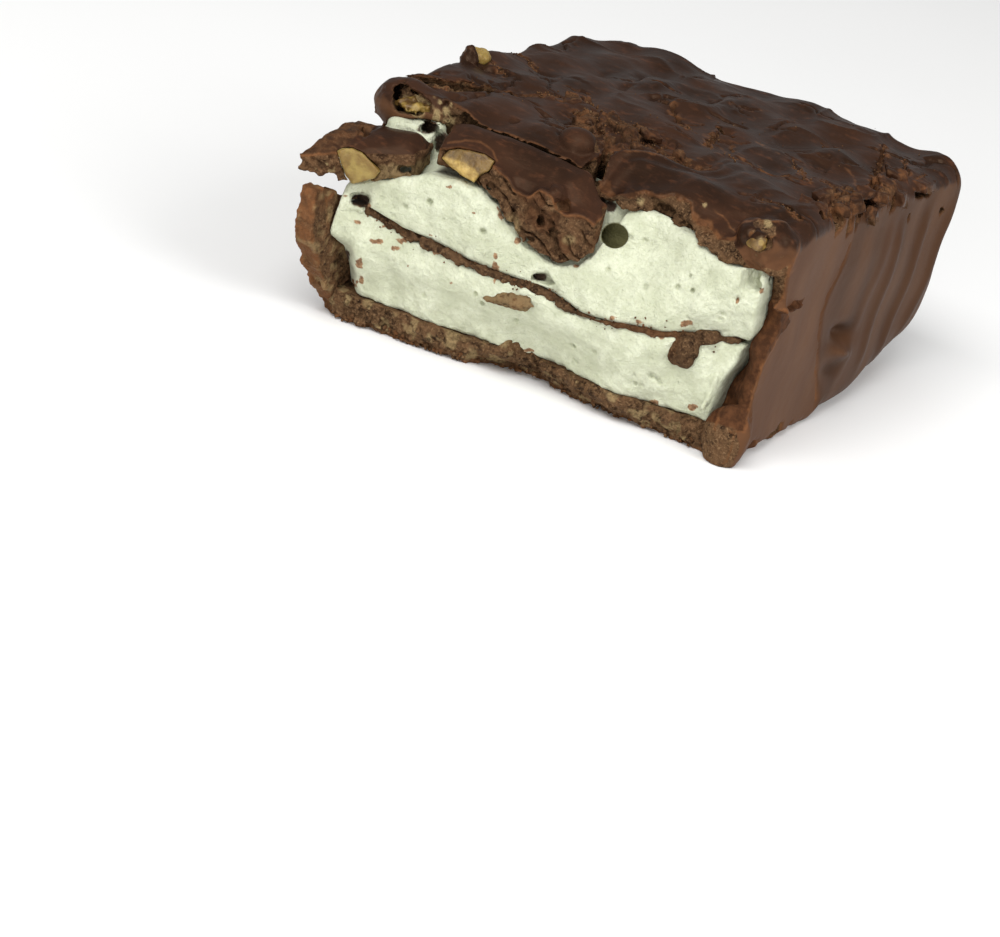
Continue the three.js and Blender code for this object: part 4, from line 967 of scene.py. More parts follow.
def strand(g, body, start, end, radius, width=0.3):
    """A thread of marshmallow melted onto the body."""
    middle = [(a + b) / 2 for a, b in zip(start, end)]
    reach = max(abs(a - b) for a, b in zip(start, end)) / 2 + radius + 1
    at, x, y, z = window(g, middle, reach)
    d = [b - a for a, b in zip(start, end)]
    t = np.clip(((x - start[0]) * d[0] + (y - start[1]) * d[1] + (z - start[2]) * d[2]) / sum(v * v for v in d), 0, 1)
    away = np.sqrt((x - start[0] - t * d[0]) ** 2 + (y - start[1] - t * d[1]) ** 2 + (z - start[2] - t * d[2]) ** 2)
    away = away - radius * (0.8 + 0.5 * noise(x, y, z, 0.8, 310))
    body[at] = melted(body[at], away, width)


def bubbles(g, body, count, seed, low, high, big=0.3):
    """Small burst bubbles in the torn face."""
    random = np.random.default_rng(seed)
    for _ in range(count):
        x, z = random.uniform(2.4, 37), random.uniform(low, high)
        radius = random.uniform(0.12, big)
        y = float(face(np.float32(x), np.float32(z))) - 0.6
        at, wx, wy, wz = window(g, (x, y, z), radius + 0.5)
        ball = np.sqrt((wx - x) ** 2 + ((wy - y) / 2) ** 2 + (wz - z) ** 2) - radius
        if body[at].size:
            body[at] = carved(body[at], ball, 0.12)


# Brown marks on the marshmallow as they show: middle and half sizes in the picture
STAINS = [(376, 242, 7, 3), (401, 241, 5, 4), (396, 248, 7, 3), (436, 253, 4, 3), (360, 262, 4, 7), (357, 282, 6, 5),
          (449, 187, 5, 1.5), (473, 213, 3, 1.5), (408, 266, 2, 2), (495, 268, 4, 14), (518, 240, 5, 4), (500, 212, 4, 8),
          (366, 206, 9, 4), (356, 222, 5, 3), (576, 265, 3, 3), (693, 407, 5, 3), (655, 402, 6, 2), (762, 290, 4, 5),
          (770, 307, 6, 7), (688, 323, 6, 4), (661, 335, 6, 3), (640, 322, 8, 3), (737, 300, 2, 4), (528, 350, 5, 2),
          (385, 226, 3, 2), (430, 235, 2, 1), (345, 196, 3, 2), (612, 318, 6, 3), (597, 345, 2, 1), (452, 283, 2, 1)]


def stained(points):
    u, v = seen(*points.T)
    stain = np.zeros(len(points))
    ragged = rough(points[:, 0], points[:, 1], points[:, 2], 0.5, 2, 320)
    for x, y, a, b in STAINS:
        stain = np.maximum(stain, smooth(1.1, 0.5, np.hypot((u - x) / a, (v - y) / b) + 0.7 * ragged))
    return stain * smooth(1, 0, points[:, 1])


# Painted shadow in the hollows between the marshmallow and the chocolate: middle and half sizes in the picture
SHADOWED_HOLLOWS = [(361, 200, 9, 7), (777, 276, 9, 8), (540, 277, 7, 4), (730, 340, 11, 4), (346, 258, 4, 8), (429, 127, 10, 7),
           (441, 143, 7, 10), (600, 188, 9, 24), (610, 207, 8, 6)]
# Those that are dug into the upper layer, and how far back each goes
DEEP_HOLES = [(361, 200, 9, 6, -4.2), (540, 277, 7, 4, -3.2), (429, 127, 9, 6.5, 0.6), (439, 143, 6, 10, 0.4),
              (777, 278, 8, 8, 1)]


# painted shadow: darkens the marshmallow in the hollows listed above
def hollowed(points):
    u, v = seen(*points.T)
    ragged = rough(points[:, 0], points[:, 1], points[:, 2], 0.5, 2, 321)
    dark = np.zeros(len(points))
    for x, y, a, b in SHADOWED_HOLLOWS:
        dark = np.maximum(dark, smooth(1.05, 0.8, np.hypot((u - x) / a, (v - y) / b) + 0.3 * ragged))
    return dark * smooth(4, 3, points[:, 1])


def lower_marshmallow():
    g = Grid((1.2, -9, 2), (38.6, 40, 11), 0.15)
    x, y, z = g.x, g.y, g.z
    level = np.clip((z - BASE_THICKNESS) / 6.3, 0, 1)
    front = face(x, z) - 0.5 * np.sin(np.pi * level) + torn(x, z, 110) + 0.3 * smooth(0.12, 0, level) * np.abs(rough(x, z, 0, 1, 2, 114))
    joined = 0.9 * smooth(4.5, 3.9, x) * smooth(-3, -4, y)
    top = middle_height(x, y) - profile(MIDDLE_HALF, x) + 0.05 + joined
    right = profile(RIGHT_WALL_INNER, z) - 0.05
    ends = np.maximum(np.maximum(LEFT_WALL + 0.05 - x, x - right), y - 39.4)
    body = rounded(rounded(ends, z - top, 0.12), BASE_THICKNESS - 0.05 - z, 0.1)
    body = np.array(rounded(body, front - y, 0.3))
    strand(g, body, (36.3, -0.7, 4.1), (36.7, -0.6, 7), 0.24, 0.4)
    bubbles(g, body, 45, 5, 3.4, 9)
    points, faces = surface(g, body)
    points, faces = thinned(points, faces, 110000, points[:, 1] > 0.8)
    piece("marshmallow_below", points, faces, MARSHMALLOW, ["marshmallow_lower"], "marshmallow",
          stain=stained(points), hollow=np.zeros(len(points)), dark=hollowed(points))


def upper_marshmallow():
    g = Grid((1.2, -9.5, 8.5), (39.4, 40, 19.4), 0.15)
    x, y, z = g.x, g.y, g.z
    level = np.clip((z - 10) / 7.8, 0, 1)
    front = face(x, z) - 0.6 * np.sin(np.pi * level) + torn(x, z, 120)
    front = front - 0.35 * np.exp(-((x - 33.4 - 0.25 * (z - 11)) / 0.5) ** 2) * smooth(10, 11, z) * smooth(16, 13, z)
    bottom = middle_height(x, y) + profile(MIDDLE_HALF, x) - 0.05 - 0.9 * smooth(4.5, 3.9, x) * smooth(-3, -4, y)
    under = mix(TOP_UNDERSIDE, profile(TOP_FRONT_UNDERSIDE, x), smooth(2, -0.5, y))
    top = mix(under, np.minimum(under, profile(DROOP, x)), smooth(0.6, -3, y)) + 0.15 * noise(x, y, 0, 1.5, 123)
    top = top + 0.5 * np.exp(-((x - 3.9) / 2.5) ** 4) * np.exp(-((y - 0.3) / 1.7) ** 2)
    right = profile(RIGHT_WALL_INNER, z) - 0.05
    ends = np.maximum(np.maximum(LEFT_WALL + 0.05 - x, x - right), y - 39.4)
    body = rounded(rounded(ends, bottom - z, 0.12), z - top, 0.4)
    body = np.array(rounded(body, front - y, 0.5))
    body = melted(body, lump(g, ((4.5, -1.1, 17.6), (5.4, 3.4, 2.2), -0.14), 0, 0.35) - 0.14 * rough(x, y, z, 0.9, 2, 124), 0.3)
    by = BUBBLE[1]
    across, down = seen(x, y, z)
    hole = (np.hypot((across - 615) / 13.5, (down - 236) / 12.5) - 1) * 1.15
    body = np.maximum(body, -np.maximum(hole, y - by - 1.9))
    ragged = 0.28 * rough(x, y, z, 0.9, 3, 125)
    for a, b, half, tall, far in DEEP_HOLES:
        dug = (np.hypot((across - a) / half, (down - b) / tall) - 1) * min(half, tall) / PIXELS + ragged
        body = carved(body, np.maximum(dug, y - far), 0.12)
    for middle, sizes in (((3.6, -6.9, 11.9), (1.9, 2.2, 1)), ((21.3, -4.6, 10.5), (1.4, 2.4, 0.9)), ((37.6, -1, 16.2), (1.6, 3, 2.2)), ((36.2, -1.2, 10.7), (2.2, 2, 0.8))):
        body = carved(body, lump(g, (middle, sizes, -0.3), 0, 0.4), 0.15)
    strand(g, body, (2.6, -7.4, 12.6), (4.6, -6.6, 11.2), 0.14, 0.15)
    strand(g, body, (2.2, -7.5, 12.2), (2.6, -7.4, 10.2), 0.16, 0.15)
    strand(g, body, (15.6, -5.3, 11.2), (15.9, -5.4, 9.4), 0.08, 0.15)
    strand(g, body, (27.8, -4.3, 12.6), (26.3, -4.3, 10), 0.3, 0.4)
    strand(g, body, (28.2, -4.2, 11.8), (28.6, -4.1, 10), 0.22, 0.3)
    strand(g, body, (23.8, -4.4, 11.6), (24.6, -4.3, 10.4), 0.16, 0.2)
    strand(g, body, (34.6, -2.6, 12.2), (33.8, -2.2, 10.3), 0.3, 0.4)
    bubbles(g, body, 40, 6, 11, 17)
    points, faces = surface(g, body)
    points, faces = thinned(points, faces, 120000, points[:, 1] > 0.8)
    across, down = seen(*points.T)
    deep = points[:, 1] - face(points[:, 0], points[:, 2])
    # painted shade inside the burst bubble, and where the torn face lies deep near the middle slab
    hollow = smooth(1.15, 1, np.hypot((across - 615) / 13.5, (down - 236) / 12.5)) * smooth(-0.3, 0.8, deep)
    dark = 0.7 * smooth(0.6, 1.6, deep) * smooth(2.6, 1, np.abs(points[:, 1] + 3.5)) * smooth(8, 9, points[:, 0]) * (1 - hollow)
    piece("marshmallow_above", points, faces, MARSHMALLOW, ["marshmallow_upper"], "marshmallow",
          stain=stained(points), hollow=hollow, dark=np.maximum(hollowed(points), dark))


def middle_layer():
    g = Grid((1.4, -9, 6), (38.4, 40, 12.4), 0.13)
    x, y, z = g.x, g.y, g.z
    front = face(x, 9) + 3 * smooth(4.3, 3.7, x) + 0.2 * np.sin(5 * np.pi * (x - FLANK) / 35.2) + 0.2 * rough(x, z, 0, 0.7, 4, 130) - 0.15
    thick = profile(MIDDLE_HALF, x) * (0.92 + 0.5 * rough(x, y, 0, 0.6, 3, 131)) + 0.03
    sheet = np.abs(z - middle_height(x, y)) - thick
    sheet = np.maximum(sheet, np.maximum(FLANK - x, np.maximum(x - 37.5, y - 39.2)))
    sheet = rounded(sheet, front - y, 0.1)
    body = melted(sheet, lump(g, FACE_CHUNK, 0, 0.2), 0.3)
    body = np.array(melted(body, lump(g, SMALL_CHUNK, 0, 0.2), 0.3))
    body[:, :60] -= 0.15 * rough(x, y[:, :60], z, 0.5, 3, 132)
    points, faces = surface(g, body)
    points, faces = thinned(points, faces, 90000, points[:, 1] > 0.8)
    ones = np.ones(len(points))
    rim = smooth(24, 27, points[:, 0]) * smooth(34, 32, points[:, 0]) * 0.6
    piece("chocolate_between", points, faces, CHOCOLATE, ["chocolate_middle_layer"], "chocolate_broken",
          broken=ones, rim=rim, side=0 * ones, warm=0 * ones, pale=0 * ones,
          shade=0.45 + 0.3 * noise(*points.T, 0.6, 133))


SLAB_RIM = [(7.5, 17.6), (9.4, 18.4), (11, 19.1), (12.7, 19.1), (14.2, 18.5), (15.5, 18.1), (16.9, 17.4), (18.1, 17.3),
            (19.1, 18.1), (20.1, 18), (20.8, 17.2), (22.1, 17.2), (23.4, 17.4), (24.4, 16.9)]
SLAB_EASY_RIM = [(7.5, 17.7), (11.5, 18.9), (16, 18.1), (20, 17.8), (24.4, 17)]
SLAB_HINGE = [(7.1, 19.4), (10, 20), (16, 20.2), (20.9, 19.8), (23.4, 18)]
SLAB_BELOW = [(7.5, 16.6), (11, 16.4), (13, 16.4), (14.9, 15.7), (16.6, 14.5), (18.7, 13.1), (20.3, 12.5), (21.8, 12.4),
              (23.1, 12.9), (24.2, 14), (25, 15.2)]
# Pits in the broken faces of the slabs as they show: middle and half sizes in the picture
SLAB_PITS = [(490, 186, 5, 4), (514, 210, 3, 8), (541, 219, 3, 5), (553, 233, 7, 2.5), (530, 238, 6, 2.5)]
LEFT_PITS = [(365, 133, 5, 3.5), (320, 165, 7, 4), (405, 169, 6, 3)]


def pitted(g, body, pits, far):
    """The body with small ragged pits dug straight away from the eye, down to the given depth."""
    u, v = seen(g.x, g.y, g.z)
    ragged = 0.32 * rough(g.x, g.y, g.z, 0.8, 3, 126)
    for a, b, half, tall in pits:
        dug = (np.hypot((u - a) / half, (v - b) / tall) - 1) * min(half, tall) / PIXELS + ragged
        body = carved(body, np.maximum(dug, g.y - far), 0.1)
    return body


# painted shade in the pits of the slabs
def pit_painted_shade(points, pits):
    u, v = seen(*points.T)
    dark = np.zeros(len(points))
    for a, b, half, tall in pits:
        dark = np.maximum(dark, smooth(1.2, 0.6, np.hypot((u - a) / half, (v - b) / tall)))
    return dark * smooth(-0.5, 0.3, noise(*points.T, 0.5, 127))


def middle_slab():
    g = Grid((6.8, -6.8, 10.2), (25.6, 0.6, 20.8), 0.1)
    x, y, z = g.x, g.y, g.z
    back = smooth(-4.7, -0.8, y)
    rim_height = mix(profile(SLAB_RIM, x), profile(SLAB_EASY_RIM, x), smooth(-4.9, -4.1, y))
    top = mix(rim_height, profile(SLAB_HINGE, x), back) + 0.25 * np.sin(np.pi * back)
    top = top + 0.14 * noise(x, y, 0, 2.4, 140) + 0.05 * noise(x, y, 0, 1.1, 141)
    top = top + 0.35 * np.exp(-((x - 20.6) / 0.9) ** 2 - ((y + 3.4) / 1) ** 2) - 0.4 * np.exp(-((x - 21.6) / 0.5) ** 2 - ((y + 4.4) / 0.7) ** 2)
    below = profile(SLAB_BELOW, x) + 0.25 * rough(x, y, 0, 1.1, 3, 142) + 1.2 * smooth(-3.4, -1.2, y)
    depth = top - z
    leaf = np.sin(4.6 * (z + 0.65 * x) + 2.4 * noise(x, z, 0, 1.8, 143))
    crumbly = 0.26 * rough(x, z, 0, 1.1, 2, 144) + 0.15 * rough(x, y, z, 0.5, 3, 148) + 0.5 * smooth(0.8, 1, leaf) * smooth(-0.2, 0.3, noise(x, z, 0, 1.6, 147))
    front = -4.75 + 0.45 * np.sin(0.44 * (x - 8)) + 0.1 * depth + 1.2 * crumbly * smooth(0.1, 0.6, depth)
    front = front + 0.7 * np.exp(-((x - 21.3 + 0.5 * (z - 14)) / 0.3) ** 2) * smooth(16.4, 15.6, z) * smooth(12.6, 13.4, z)
    plan = inside(x + 0.2 * noise(x, y, 0, 0.8, 146), y, [(8.2, -1.2), (8.6, -4), (9.2, -6), (23.4, -6), (24.5, -4.6), (23.7, -1.8), (21.8, -1)])
    body = rounded(z - top, front - y, 0.2)
    body = rounded(body, plan, 0.3)
    body = np.maximum(body, below - z)
    body = carved(body, lump(g, ((21.1, -4.6, 17.3), (1.3, 1.8, 1), 0.3), 0, 0.3), 0.2)
    body = melted(body, lump(g, ((20.3, -4.3, 18.2), (1.8, 1.2, 0.8), 0.5), 0, 0.3), 0.3)
    body = pitted(g, body, SLAB_PITS, -3.9)
    body = carved(body, outline_nut(g, NUT_MIDDLE_SEEN, -4.9, -3.9, 0.3), 0.1)
    points, faces = thinned(*surface(g, body), 110000)
    down = g.sample(top - z, points)
    px, py, pz = points.T
    broken = smooth(0.16, 0.34, down)
    rim = np.exp(-((down - 0.25) / 0.1) ** 2) * smooth(-1.5, -3, py)
    u, v = seen(px, py, pz)
    line = to_line(u, v + 2 * noise(px, py, pz, 1.2, 149), [(448, 143), (465, 139), (481, 143), (493, 152), (497, 160)])
    rim = np.maximum(rim, 0.5 * smooth(1.6, 0.5, line) * smooth(0.6, 0.2, down))
    warm = 0.25 + 0.5 * smooth(0.1, 0.4, noise(px, py, pz, 1.6, 156))
    pale = 0.5 * smooth(1.3, 0.4, np.hypot((u - 569) / 7, (v - 240) / 5)) * smooth(0.3, 0.6, down)
    pale = np.maximum(pale, 0.35 * smooth(1.2, 0.6, np.hypot((u - 512) / 9, (v - 226) / 14)) * smooth(0.3, 0.6, down))
    # painted shade in the pits, and a slightly darker tone all over
    piece("slab_middle", points, faces, CHOCOLATE, ["top_slab_middle"], "chocolate_coating",
          broken=broken, rim=rim, side=0 * down, warm=warm, pale=pale, shade=np.maximum(0.9 * pit_painted_shade(points, SLAB_PITS), 0.15))


def left_slab():
    g = Grid((-1.9, -10.8, 12.4), (8.4, -0.2, 19.6), 0.1)
    x, y, z = g.x, g.y, g.z
    lip = np.clip((x + 1) / 8.1, 0, 1)
    near, far = mix(-9.6, -4.9, lip), mix(-2, -1.6, lip)
    v = np.clip((y - near) / (far - near), 0, 1)
    top = mix(mix(15, 17, lip), mix(16.7, 17.9, lip), v) + 0.75 * np.sin(np.pi * v) * smooth(1, 0.8, lip)
    top = top + 0.12 * noise(x, y, 0, 2.2, 150) + 0.16 * rough(x, y, 0, 1.1, 3, 154) * smooth(0.5, 0.3, lip)
    top = top - 1.4 * np.exp(-((x - 1.5) / 0.5) ** 2 - ((y + 3.8) / 0.8) ** 2)
    top = top + 0.35 * np.exp(-((x + 0.1 - 0.2 * y) / 0.35) ** 2) * smooth(-9, -7, y)
    thick = 2.5 * mix(0.72, 1, smooth(0, 0.45, lip))
    below = top - thick + 0.24 * rough(x, y, 0, 1, 3, 151)
    plan = inside(x + 0.25 * noise(y, z, 0, 1, 152), y + 0.3 * rough(x, z, 0, 0.8, 4, 153) * smooth(0.2, 0.7, top - z),
                  [(-0.4, -2.4), (-1.1, -9.9), (2, -8), (7.2, -5), (7.1, -2), (5, -1.4), (2.4, -1.9)])
    body = rounded(z - top, plan, 0.3 + 0.5 * smooth(2, 4, x))
    body = rounded(body, below - z, 0.2)
    body = carved(body, lump(g, ((0.3, -9.3, 14.4), (1, 1.2, 0.5), 0.4), 0, 0.4), 0.15)
    body = pitted(g, body, LEFT_PITS[:1] + LEFT_PITS[2:], -3.4)
    body = carved(body, outline_nut(g, NUT_LEFT_SEEN, -8.6, -5.4, 0.3), 0.1)
    points, faces = thinned(*surface(g, body), 70000)
    down = g.sample(top - z, points)
    broken = smooth(0.16, 0.34, down)
    px = points[:, 0]
    rim = np.exp(-((down - 0.25) / 0.1) ** 2) * 0.8 * smooth(3, 1, px)
    left = smooth(2.6, 1.4, px + 0.5 * noise(px, points[:, 1], 0, 1, 155))
    broken = np.maximum(broken, 0.55 * left)
    pale = 0.3 * smooth(0.9, 1.3, down) * smooth(2, 3.6, px)
    u, v = seen(*points.T)
    specks = smooth(0.1, 0.4, noise(*points.T, 0.35, 129))
    pale = np.maximum(pale, 0.8 * specks * smooth(1.3, 0.7, np.hypot((u - 326) / 10, (v - 168) / 5)))
    # painted shade in the pits and over the right part of the slab
    piece("slab_left", points, faces, CHOCOLATE, ["top_slab_left"], "chocolate_coating",
          broken=broken, rim=rim, side=0 * down, warm=0.3 + 0.4 * left * smooth(0.5, 0.2, down), pale=pale,
          shade=np.maximum(0.9 * pit_painted_shade(points, LEFT_PITS), 0.3 * smooth(3, 5, px)))


def outline_nut(g, outline, near, far, grow=0.0):
    """A nut piece with broken flat sides, whose outline is given as it shows in the picture."""
    u, v = seen(g.x, g.y, g.z)
    body = inside(u, v, outline) / PIXELS - grow * 0.2
    lean = 0.35 * (g.x - 3) - 0.15 * (g.z - 15) if near < -6 else 0.1 * (g.x - 12) + 0.25 * (g.z - 17.5)
    return rounded(body, np.maximum(near + lean - g.y, g.y - far), 0.25)


def outlined(name, outline, node, low, high, near, far, seed, pale=None):
    g = Grid(low, high, 0.08)
    body = outline_nut(g, outline, near, far) - 0.07 * rough(g.x, g.y, g.z, 0.8, 4, seed)
    points, faces = surface(g, body)
    u, v = seen(*points.T)
    share = np.zeros(len(points)) if pale is None else smooth(2, -2, inside(u + 3 * noise(u, v, 0, 6, 5), v, pale))
    piece(name, points, faces, NUT, [node], "nut", pale=share, dark=np.full(len(points), 0.0 if pale is None else 0.8))


def nut(name, shape, node, seed, dark=0.0, grow=-0.08, uneven=0.16):
    (x, y, z), sizes, _ = shape
    reach = max(sizes) / 2 + 1
    g = Grid((x - reach, y - reach, z - reach), (x + reach, y + reach, z + reach), 0.09)
    body = lump(g, shape, grow) - uneven * rough(g.x, g.y, g.z, 1.1, 4, seed)
    points, faces = surface(g, body)
    spots = smooth(-0.1, 0.4, noise(*points.T, 0.6, seed)) if dark else 1
    piece(name, points, faces, NUT, [node], "nut", pale=np.full(len(points), 0.4) * spots,
          dark=np.full(len(points), dark) * (1 - 0.8 * spots))


def fragment():
    g = Grid((15.4, -6.4, 6.4), (21.8, -3.2, 9.6), 0.08)
    body = lump(g, FRAGMENT, -0.05, 0.25) - 0.2 * rough(g.x, g.y, g.z, 0.8, 4, 171)
    points, faces = surface(g, body)
    ones = np.ones(len(points))
    px, py, pz = points.T
    piece("flake_on_face", points, faces, CHOCOLATE, ["chocolate_fragment"], "chocolate_broken",
          shade=0.3 * ones, broken=ones, rim=0.4 * smooth(0, 0.5, noise(px, py, pz, 0.7, 172)), side=0 * ones, warm=0.5 * ones, pale=0.3 * ones)


# Outlines as they show in the picture, in its pixels
PIXELS = 11.3
WALL_BREAK = [(741, 343), (737, 375), (723, 405), (715, 428), (745, 432), (750, 402), (754, 385), (766, 360), (776, 340),
              (790, 322), (787, 312), (779, 310), (766, 326), (752, 338)]
FOOT_BREAK = [(700, 420), (718, 424), (737, 430), (740, 446), (730, 470), (712, 470), (700, 450)]
# Thin light edges in the skin of the top, and their widths
FINE_LINES = [([(598, 151), (612, 149), (656, 154), (680, 160), (703, 159)], 1.6), ([(596, 158), (588, 166), (600, 171)], 1.6),
              ([(743, 159), (752, 163), (761, 167)], 1.6), ([(793, 167), (800, 172), (806, 176), (811, 183)], 1.8),
              ([(756, 141), (764, 147), (779, 154)], 1.6), ([(756, 199), (775, 208), (803, 219)], 1.6),
              ([(604, 129), (609, 138), (612, 148)], 1.6), ([(469, 86), (500, 92), (530, 92)], 1.4),
              ([(400, 76), (420, 77), (445, 84), (470, 88)], 1.8), ([(703, 135), (713, 138)], 1.6),
              ([(716, 146), (727, 153)], 1.6), ([(840, 165), (852, 175), (858, 190)], 1.6), ([(867, 186), (880, 181), (890, 190)], 1.6),
              ([(905, 178), (915, 190), (933, 187)], 1.4), ([(700, 200), (722, 215), (735, 232)], 1.4)]
CURL_MOUTH = [(392, 92), (396, 85), (404, 84), (413, 89), (424, 95), (431, 104), (431, 112), (420, 116), (408, 115.5), (398, 113), (393, 104)]
CURL_LIP = [(388, 113), (391, 109), (399, 114.5), (409, 116), (421, 116), (433, 113), (445, 114), (452, 121), (444, 126), (437, 120), (424, 118.5),
            (410, 118.5), (398, 118), (391, 120)]
CURL_BELOW = [(389, 122), (393, 118), (410, 118), (424, 118.5), (437, 121), (446, 130), (440, 140), (380, 140)]
CURL_BITS = [(401, 97), (409, 93), (421, 98), (430, 104), (440, 103), (452, 112), (454, 123), (444, 125), (434, 116), (420, 117), (408, 115), (402, 106)]
NUT_LEFT_SEEN = [(338, 151), (344, 148), (352, 148), (362, 153), (371, 161), (380, 171), (375, 177), (362, 182), (352, 184), (346, 176), (341, 163)]
NUT_MIDDLE_SEEN = [(442, 158), (450, 150), (459, 149), (470, 151), (484, 154), (495, 161), (491, 170), (480, 175), (474, 183), (468, 179), (459, 173), (449, 165)]
NUT_MIDDLE_PALE = [(440, 157), (450, 158), (462, 163), (476, 170), (476, 186), (462, 184), (444, 168)]


# Loose crumbs: lines or spots on the top, spread, number and size
TOP_CRUMBS = [
    ([(8.6, 12.6), (11.7, 14), (13.4, 13.9), (16, 12.8)], 0.5, 90, 0.2),
    ([(11, 13.6), (13.2, 13.9)], 0.4, 60, 0.24),
    ([(13.5, 10.2), (16.2, 9.4), (18.5, 7.4)], 0.5, 40, 0.2),
    ([(13.4, 13.9), (16, 13.2), (19, 12.6), (22, 10.4)], 0.4, 70, 0.2),
    ([(15, 8.5), (19, 9.5), (23, 8.5)], 1.2, 24, 0.2),
    ([(22.6, 8.2), (24.6, 7.2), (26.2, 8), (27, 9.6)], 0.3, 36, 0.18),
    ([(0.7, 15.2), (2, 15.6), (4.8, 13.3)], 0.25, 45, 0.18),
    ([(0.6, 21.5), (2.6, 21.6), (4.4, 20.2)], 0.4, 40, 0.18),
    ([(-1, 3), (2.4, 4.3), (4.2, 5.5), (5.8, 7.8)], 0.35, 40, 0.16),
    ([(20, 19.6), (21.4, 17.2)], 0.35, 30, 0.2),
    ([(23, 20.6), (23.4, 18.5), (23.9, 16.2)], 0.4, 30, 0.18),
    ([(31, 19.2), (32.4, 17.6), (33.9, 15.2)], 0.4, 30, 0.18),
    ([(34, 5.4), (36, 4.9), (37.6, 3.6), (38.6, 3.3)], 0.3, 30, 0.18),
    ([(36.8, 15), (38.2, 11.6), (39, 8)], 0.8, 14, 0.18),
    ([(37.2, 24.2), (38.2, 20.6), (38.9, 17)], 0.7, 14, 0.18),
    ([(34.6, 32), (36.4, 26)], 0.5, 20, 0.16),
    ([(26.5, 14.8), (28.4, 12.6)], 0.4, 16, 0.18),
    ([(2, 3), (38, 38)], 9, 60, 0.12),
]


def bit(random):
    """One broken crumb of size 1: points and triangles."""
    t = (1 + 5 ** 0.5) / 2
    points = np.array([(-1, t, 0), (1, t, 0), (-1, -t, 0), (1, -t, 0), (0, -1, t), (0, 1, t), (0, -1, -t), (0, 1, -t),
                       (t, 0, -1), (t, 0, 1), (-t, 0, -1), (-t, 0, 1)]) / 1.9
    faces = [(0, 11, 5), (0, 5, 1), (0, 1, 7), (0, 7, 10), (0, 10, 11), (1, 5, 9), (5, 11, 4), (11, 10, 2), (10, 7, 6),
             (7, 1, 8), (3, 9, 4), (3, 4, 2), (3, 2, 6), (3, 6, 8), (3, 8, 9), (4, 9, 5), (2, 4, 11), (6, 2, 10),
             (8, 6, 7), (9, 8, 1)]
    seen_edges, fresh = {}, []
    points = list(points)
    for a, b, c in faces:
        halves = []
        for p, q in ((a, b), (b, c), (c, a)):
            key = (min(p, q), max(p, q))
            if key not in seen_edges:
                seen_edges[key] = len(points)
                points.append((points[p] + points[q]) / 2)
            halves.append(seen_edges[key])
        ab, bc, ca = halves
        fresh += [(a, ab, ca), (b, bc, ab), (c, ca, bc), (ab, bc, ca)]
    points = np.array(points) * (1 + random.uniform(-0.38, 0.3, (len(points), 1)))
    points = points * random.uniform(0.55, 1.15, 3)
    turn = np.linalg.qr(random.normal(size=(3, 3)))[0]
    if np.linalg.det(turn) < 0:
        turn[:, 0] = -turn[:, 0]
    return points @ turn.T / 2, np.array(fresh)


def crumbs(name, spots, node_slot, seed, warm):
    """Loose bits as one piece, from their places and sizes."""
    random = np.random.default_rng(seed)
    points, faces, count = [], [], 0
    for place, size in spots:
        p, f = bit(random)
        points.append(p * size + place)
        faces.append(f + count)
        count += len(p)
    points, faces = np.concatenate(points), np.concatenate(faces)
    rim = 0.3 + 0.6 * noise(points[:, 0], points[:, 1], points[:, 2], 0.5, 7)
    ones = np.ones(len(points))
    piece(name, points, faces, CHOCOLATE, [], node_slot, broken=ones, rim=np.clip(rim, 0, 1), side=0 * ones,
          warm=warm * ones, pale=0 * ones)


def top_crumbs():
    random = np.random.default_rng(21)
    spots = []
    for points, spread, count, size in TOP_CRUMBS:
        for _ in range(count):
            k = random.integers(len(points) - 1)
            t = random.random()
            x, y = (mix(points[k][i], points[k + 1][i], t) + spread * random.normal() * 0.6 for i in (0, 1))
            if not (0.8 < x < 39.4 and 0.6 < y < 40):
                continue
            own = size * random.uniform(0.45, 1.5)
            height = float(top_relief(np.float32([x]), np.float32([y]))[0][0])
            spots.append(((x, y, height + 0.15 * own), own))
    crumbs("crumbs_on_top", spots, "chocolate_broken", 22, 0.2)


def face_crumbs():
    random = np.random.default_rng(31)
    spots = []
    for _ in range(130):
        x = random.uniform(1, 37) if random.random() < 0.5 else random.uniform(1, 15)
        z = random.uniform(0.1, 0.9)
        y = float(mix(profile(BASE_FRONT, x), profile(BASE_TOP_FRONT, x), smooth(0, 0.8, z / BASE_THICKNESS)))
        own = random.uniform(0.2, 0.55)
        spots.append(((x, y + random.uniform(-0.25, 0.05), max(z, own * 0.66)), own))
    for _ in range(150):
        x = random.uniform(3.6, 36)
        z = float(middle_height(np.float32(x), np.float32(-5))) + random.normal() * 0.5
        y = float(face(np.float32(x), np.float32(z))) - 0.03
        spots.append(((x, y, z), random.uniform(0.1, 0.28)))
    crumbs("crumbs_on_break", spots, "chocolate_broken", 32, 0.2)


coating()
base_front()
shard()
lower_marshmallow()
upper_marshmallow()
middle_layer()
middle_slab()
left_slab()
fragment()
outlined("nut_left", NUT_LEFT_SEEN, "nut_front_left", (-1, -9.6, 11.5), (7, -4.6, 17.6), -8.6, -5.4, 160)
outlined("nut_middle", NUT_MIDDLE_SEEN, "nut_front_middle", (7.6, -7, 14.6), (16.4, -3, 20.8), -5.1, -3.9, 161, NUT_MIDDLE_PALE)
nut("nut_curl", NUT_CURL, "nut_in_curl", 162, 1, -0.1, 0.4)
nut("nut_right", NUT_RIGHT, "nut_front_right", 163, 0.9, -0.35)
nut("nut_top", NUT_TOP, "nut_top_left", 164)
top_crumbs()
face_crumbs()


# Floor, light and camera

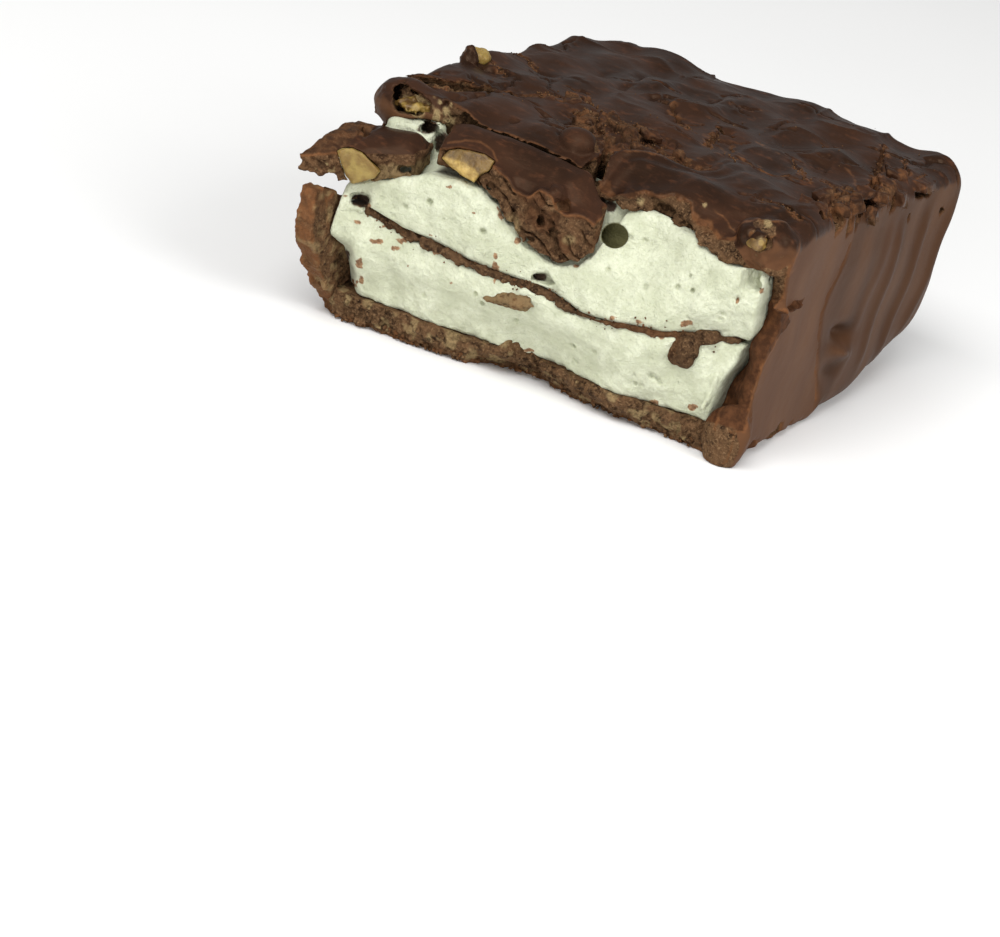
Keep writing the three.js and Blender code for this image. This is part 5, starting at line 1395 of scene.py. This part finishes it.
def floor():
    half, near, far = 0.7, -0.6, 0.5
    steps = 6
    points = [(mix(-half, half, i / steps), mix(near, far, j / steps), 0) for j in range(steps + 1) for i in range(steps + 1)]
    faces = [(j * (steps + 1) + i, j * (steps + 1) + i + 1, (j + 1) * (steps + 1) + i + 1, (j + 1) * (steps + 1) + i)
             for j in range(steps) for i in range(steps)]
    mesh = bpy.data.meshes.new("floor")
    mesh.from_pydata(points, [], faces)
    made = bpy.data.objects.new("floor", mesh)
    bpy.context.scene.collection.objects.link(made)
    k = Look("floor")
    k.set(Base_Color=k.colour(k.noise(60, 2), rgb(246, 246, 245), rgb(249, 249, 248)), Roughness=0.9)
    mesh.materials.append(k.material)


def light(name, place, target, size, power, colour=(1, 1, 1)):
    lamp = bpy.data.lights.new(name, "AREA")
    lamp.shape = "RECTANGLE"
    lamp.size, lamp.size_y = size
    lamp.energy = power
    lamp.color = colour
    made = bpy.data.objects.new(name, lamp)
    bpy.context.scene.collection.objects.link(made)
    made.location = place
    made.rotation_euler = (Vector(target) - Vector(place)).to_track_quat("-Z", "Y").to_euler()


def camera():
    lens = bpy.data.cameras.new("camera")
    lens.sensor_width = 36
    lens.lens = 108
    lens.clip_start = 0.01
    made = bpy.data.objects.new("camera", lens)
    bpy.context.scene.collection.objects.link(made)
    at = (Vector(EYE) + Vector(OFFSET)) / 1000
    turned = Matrix((Vector(RIGHTWARD), -Vector(DOWNWARD), -Vector(AHEAD))).transposed().to_4x4()
    made.matrix_world = Matrix.Translation(at) @ turned
    bpy.context.scene.camera = made


def world():
    made = bpy.data.worlds.new("studio")
    made.use_nodes = True
    made.node_tree.nodes["Background"].inputs[0].default_value = (1, 1, 1, 1)
    made.node_tree.nodes["Background"].inputs[1].default_value = 0.34
    bpy.context.scene.world = made


floor()
light("key", (0.02, -0.62, 0.8), (0, 0, 0.01), (0.7, 0.5), 7.9)
light("front", (0.02, -0.7, 0.16), (0, 0, 0.01), (0.4, 0.2), 1.5)
light("right", (0.42, -0.12, 0.3), (0, 0, 0.01), (0.25, 0.25), 1.2)
world()
camera()
bpy.context.scene.view_settings.view_transform = "Standard"
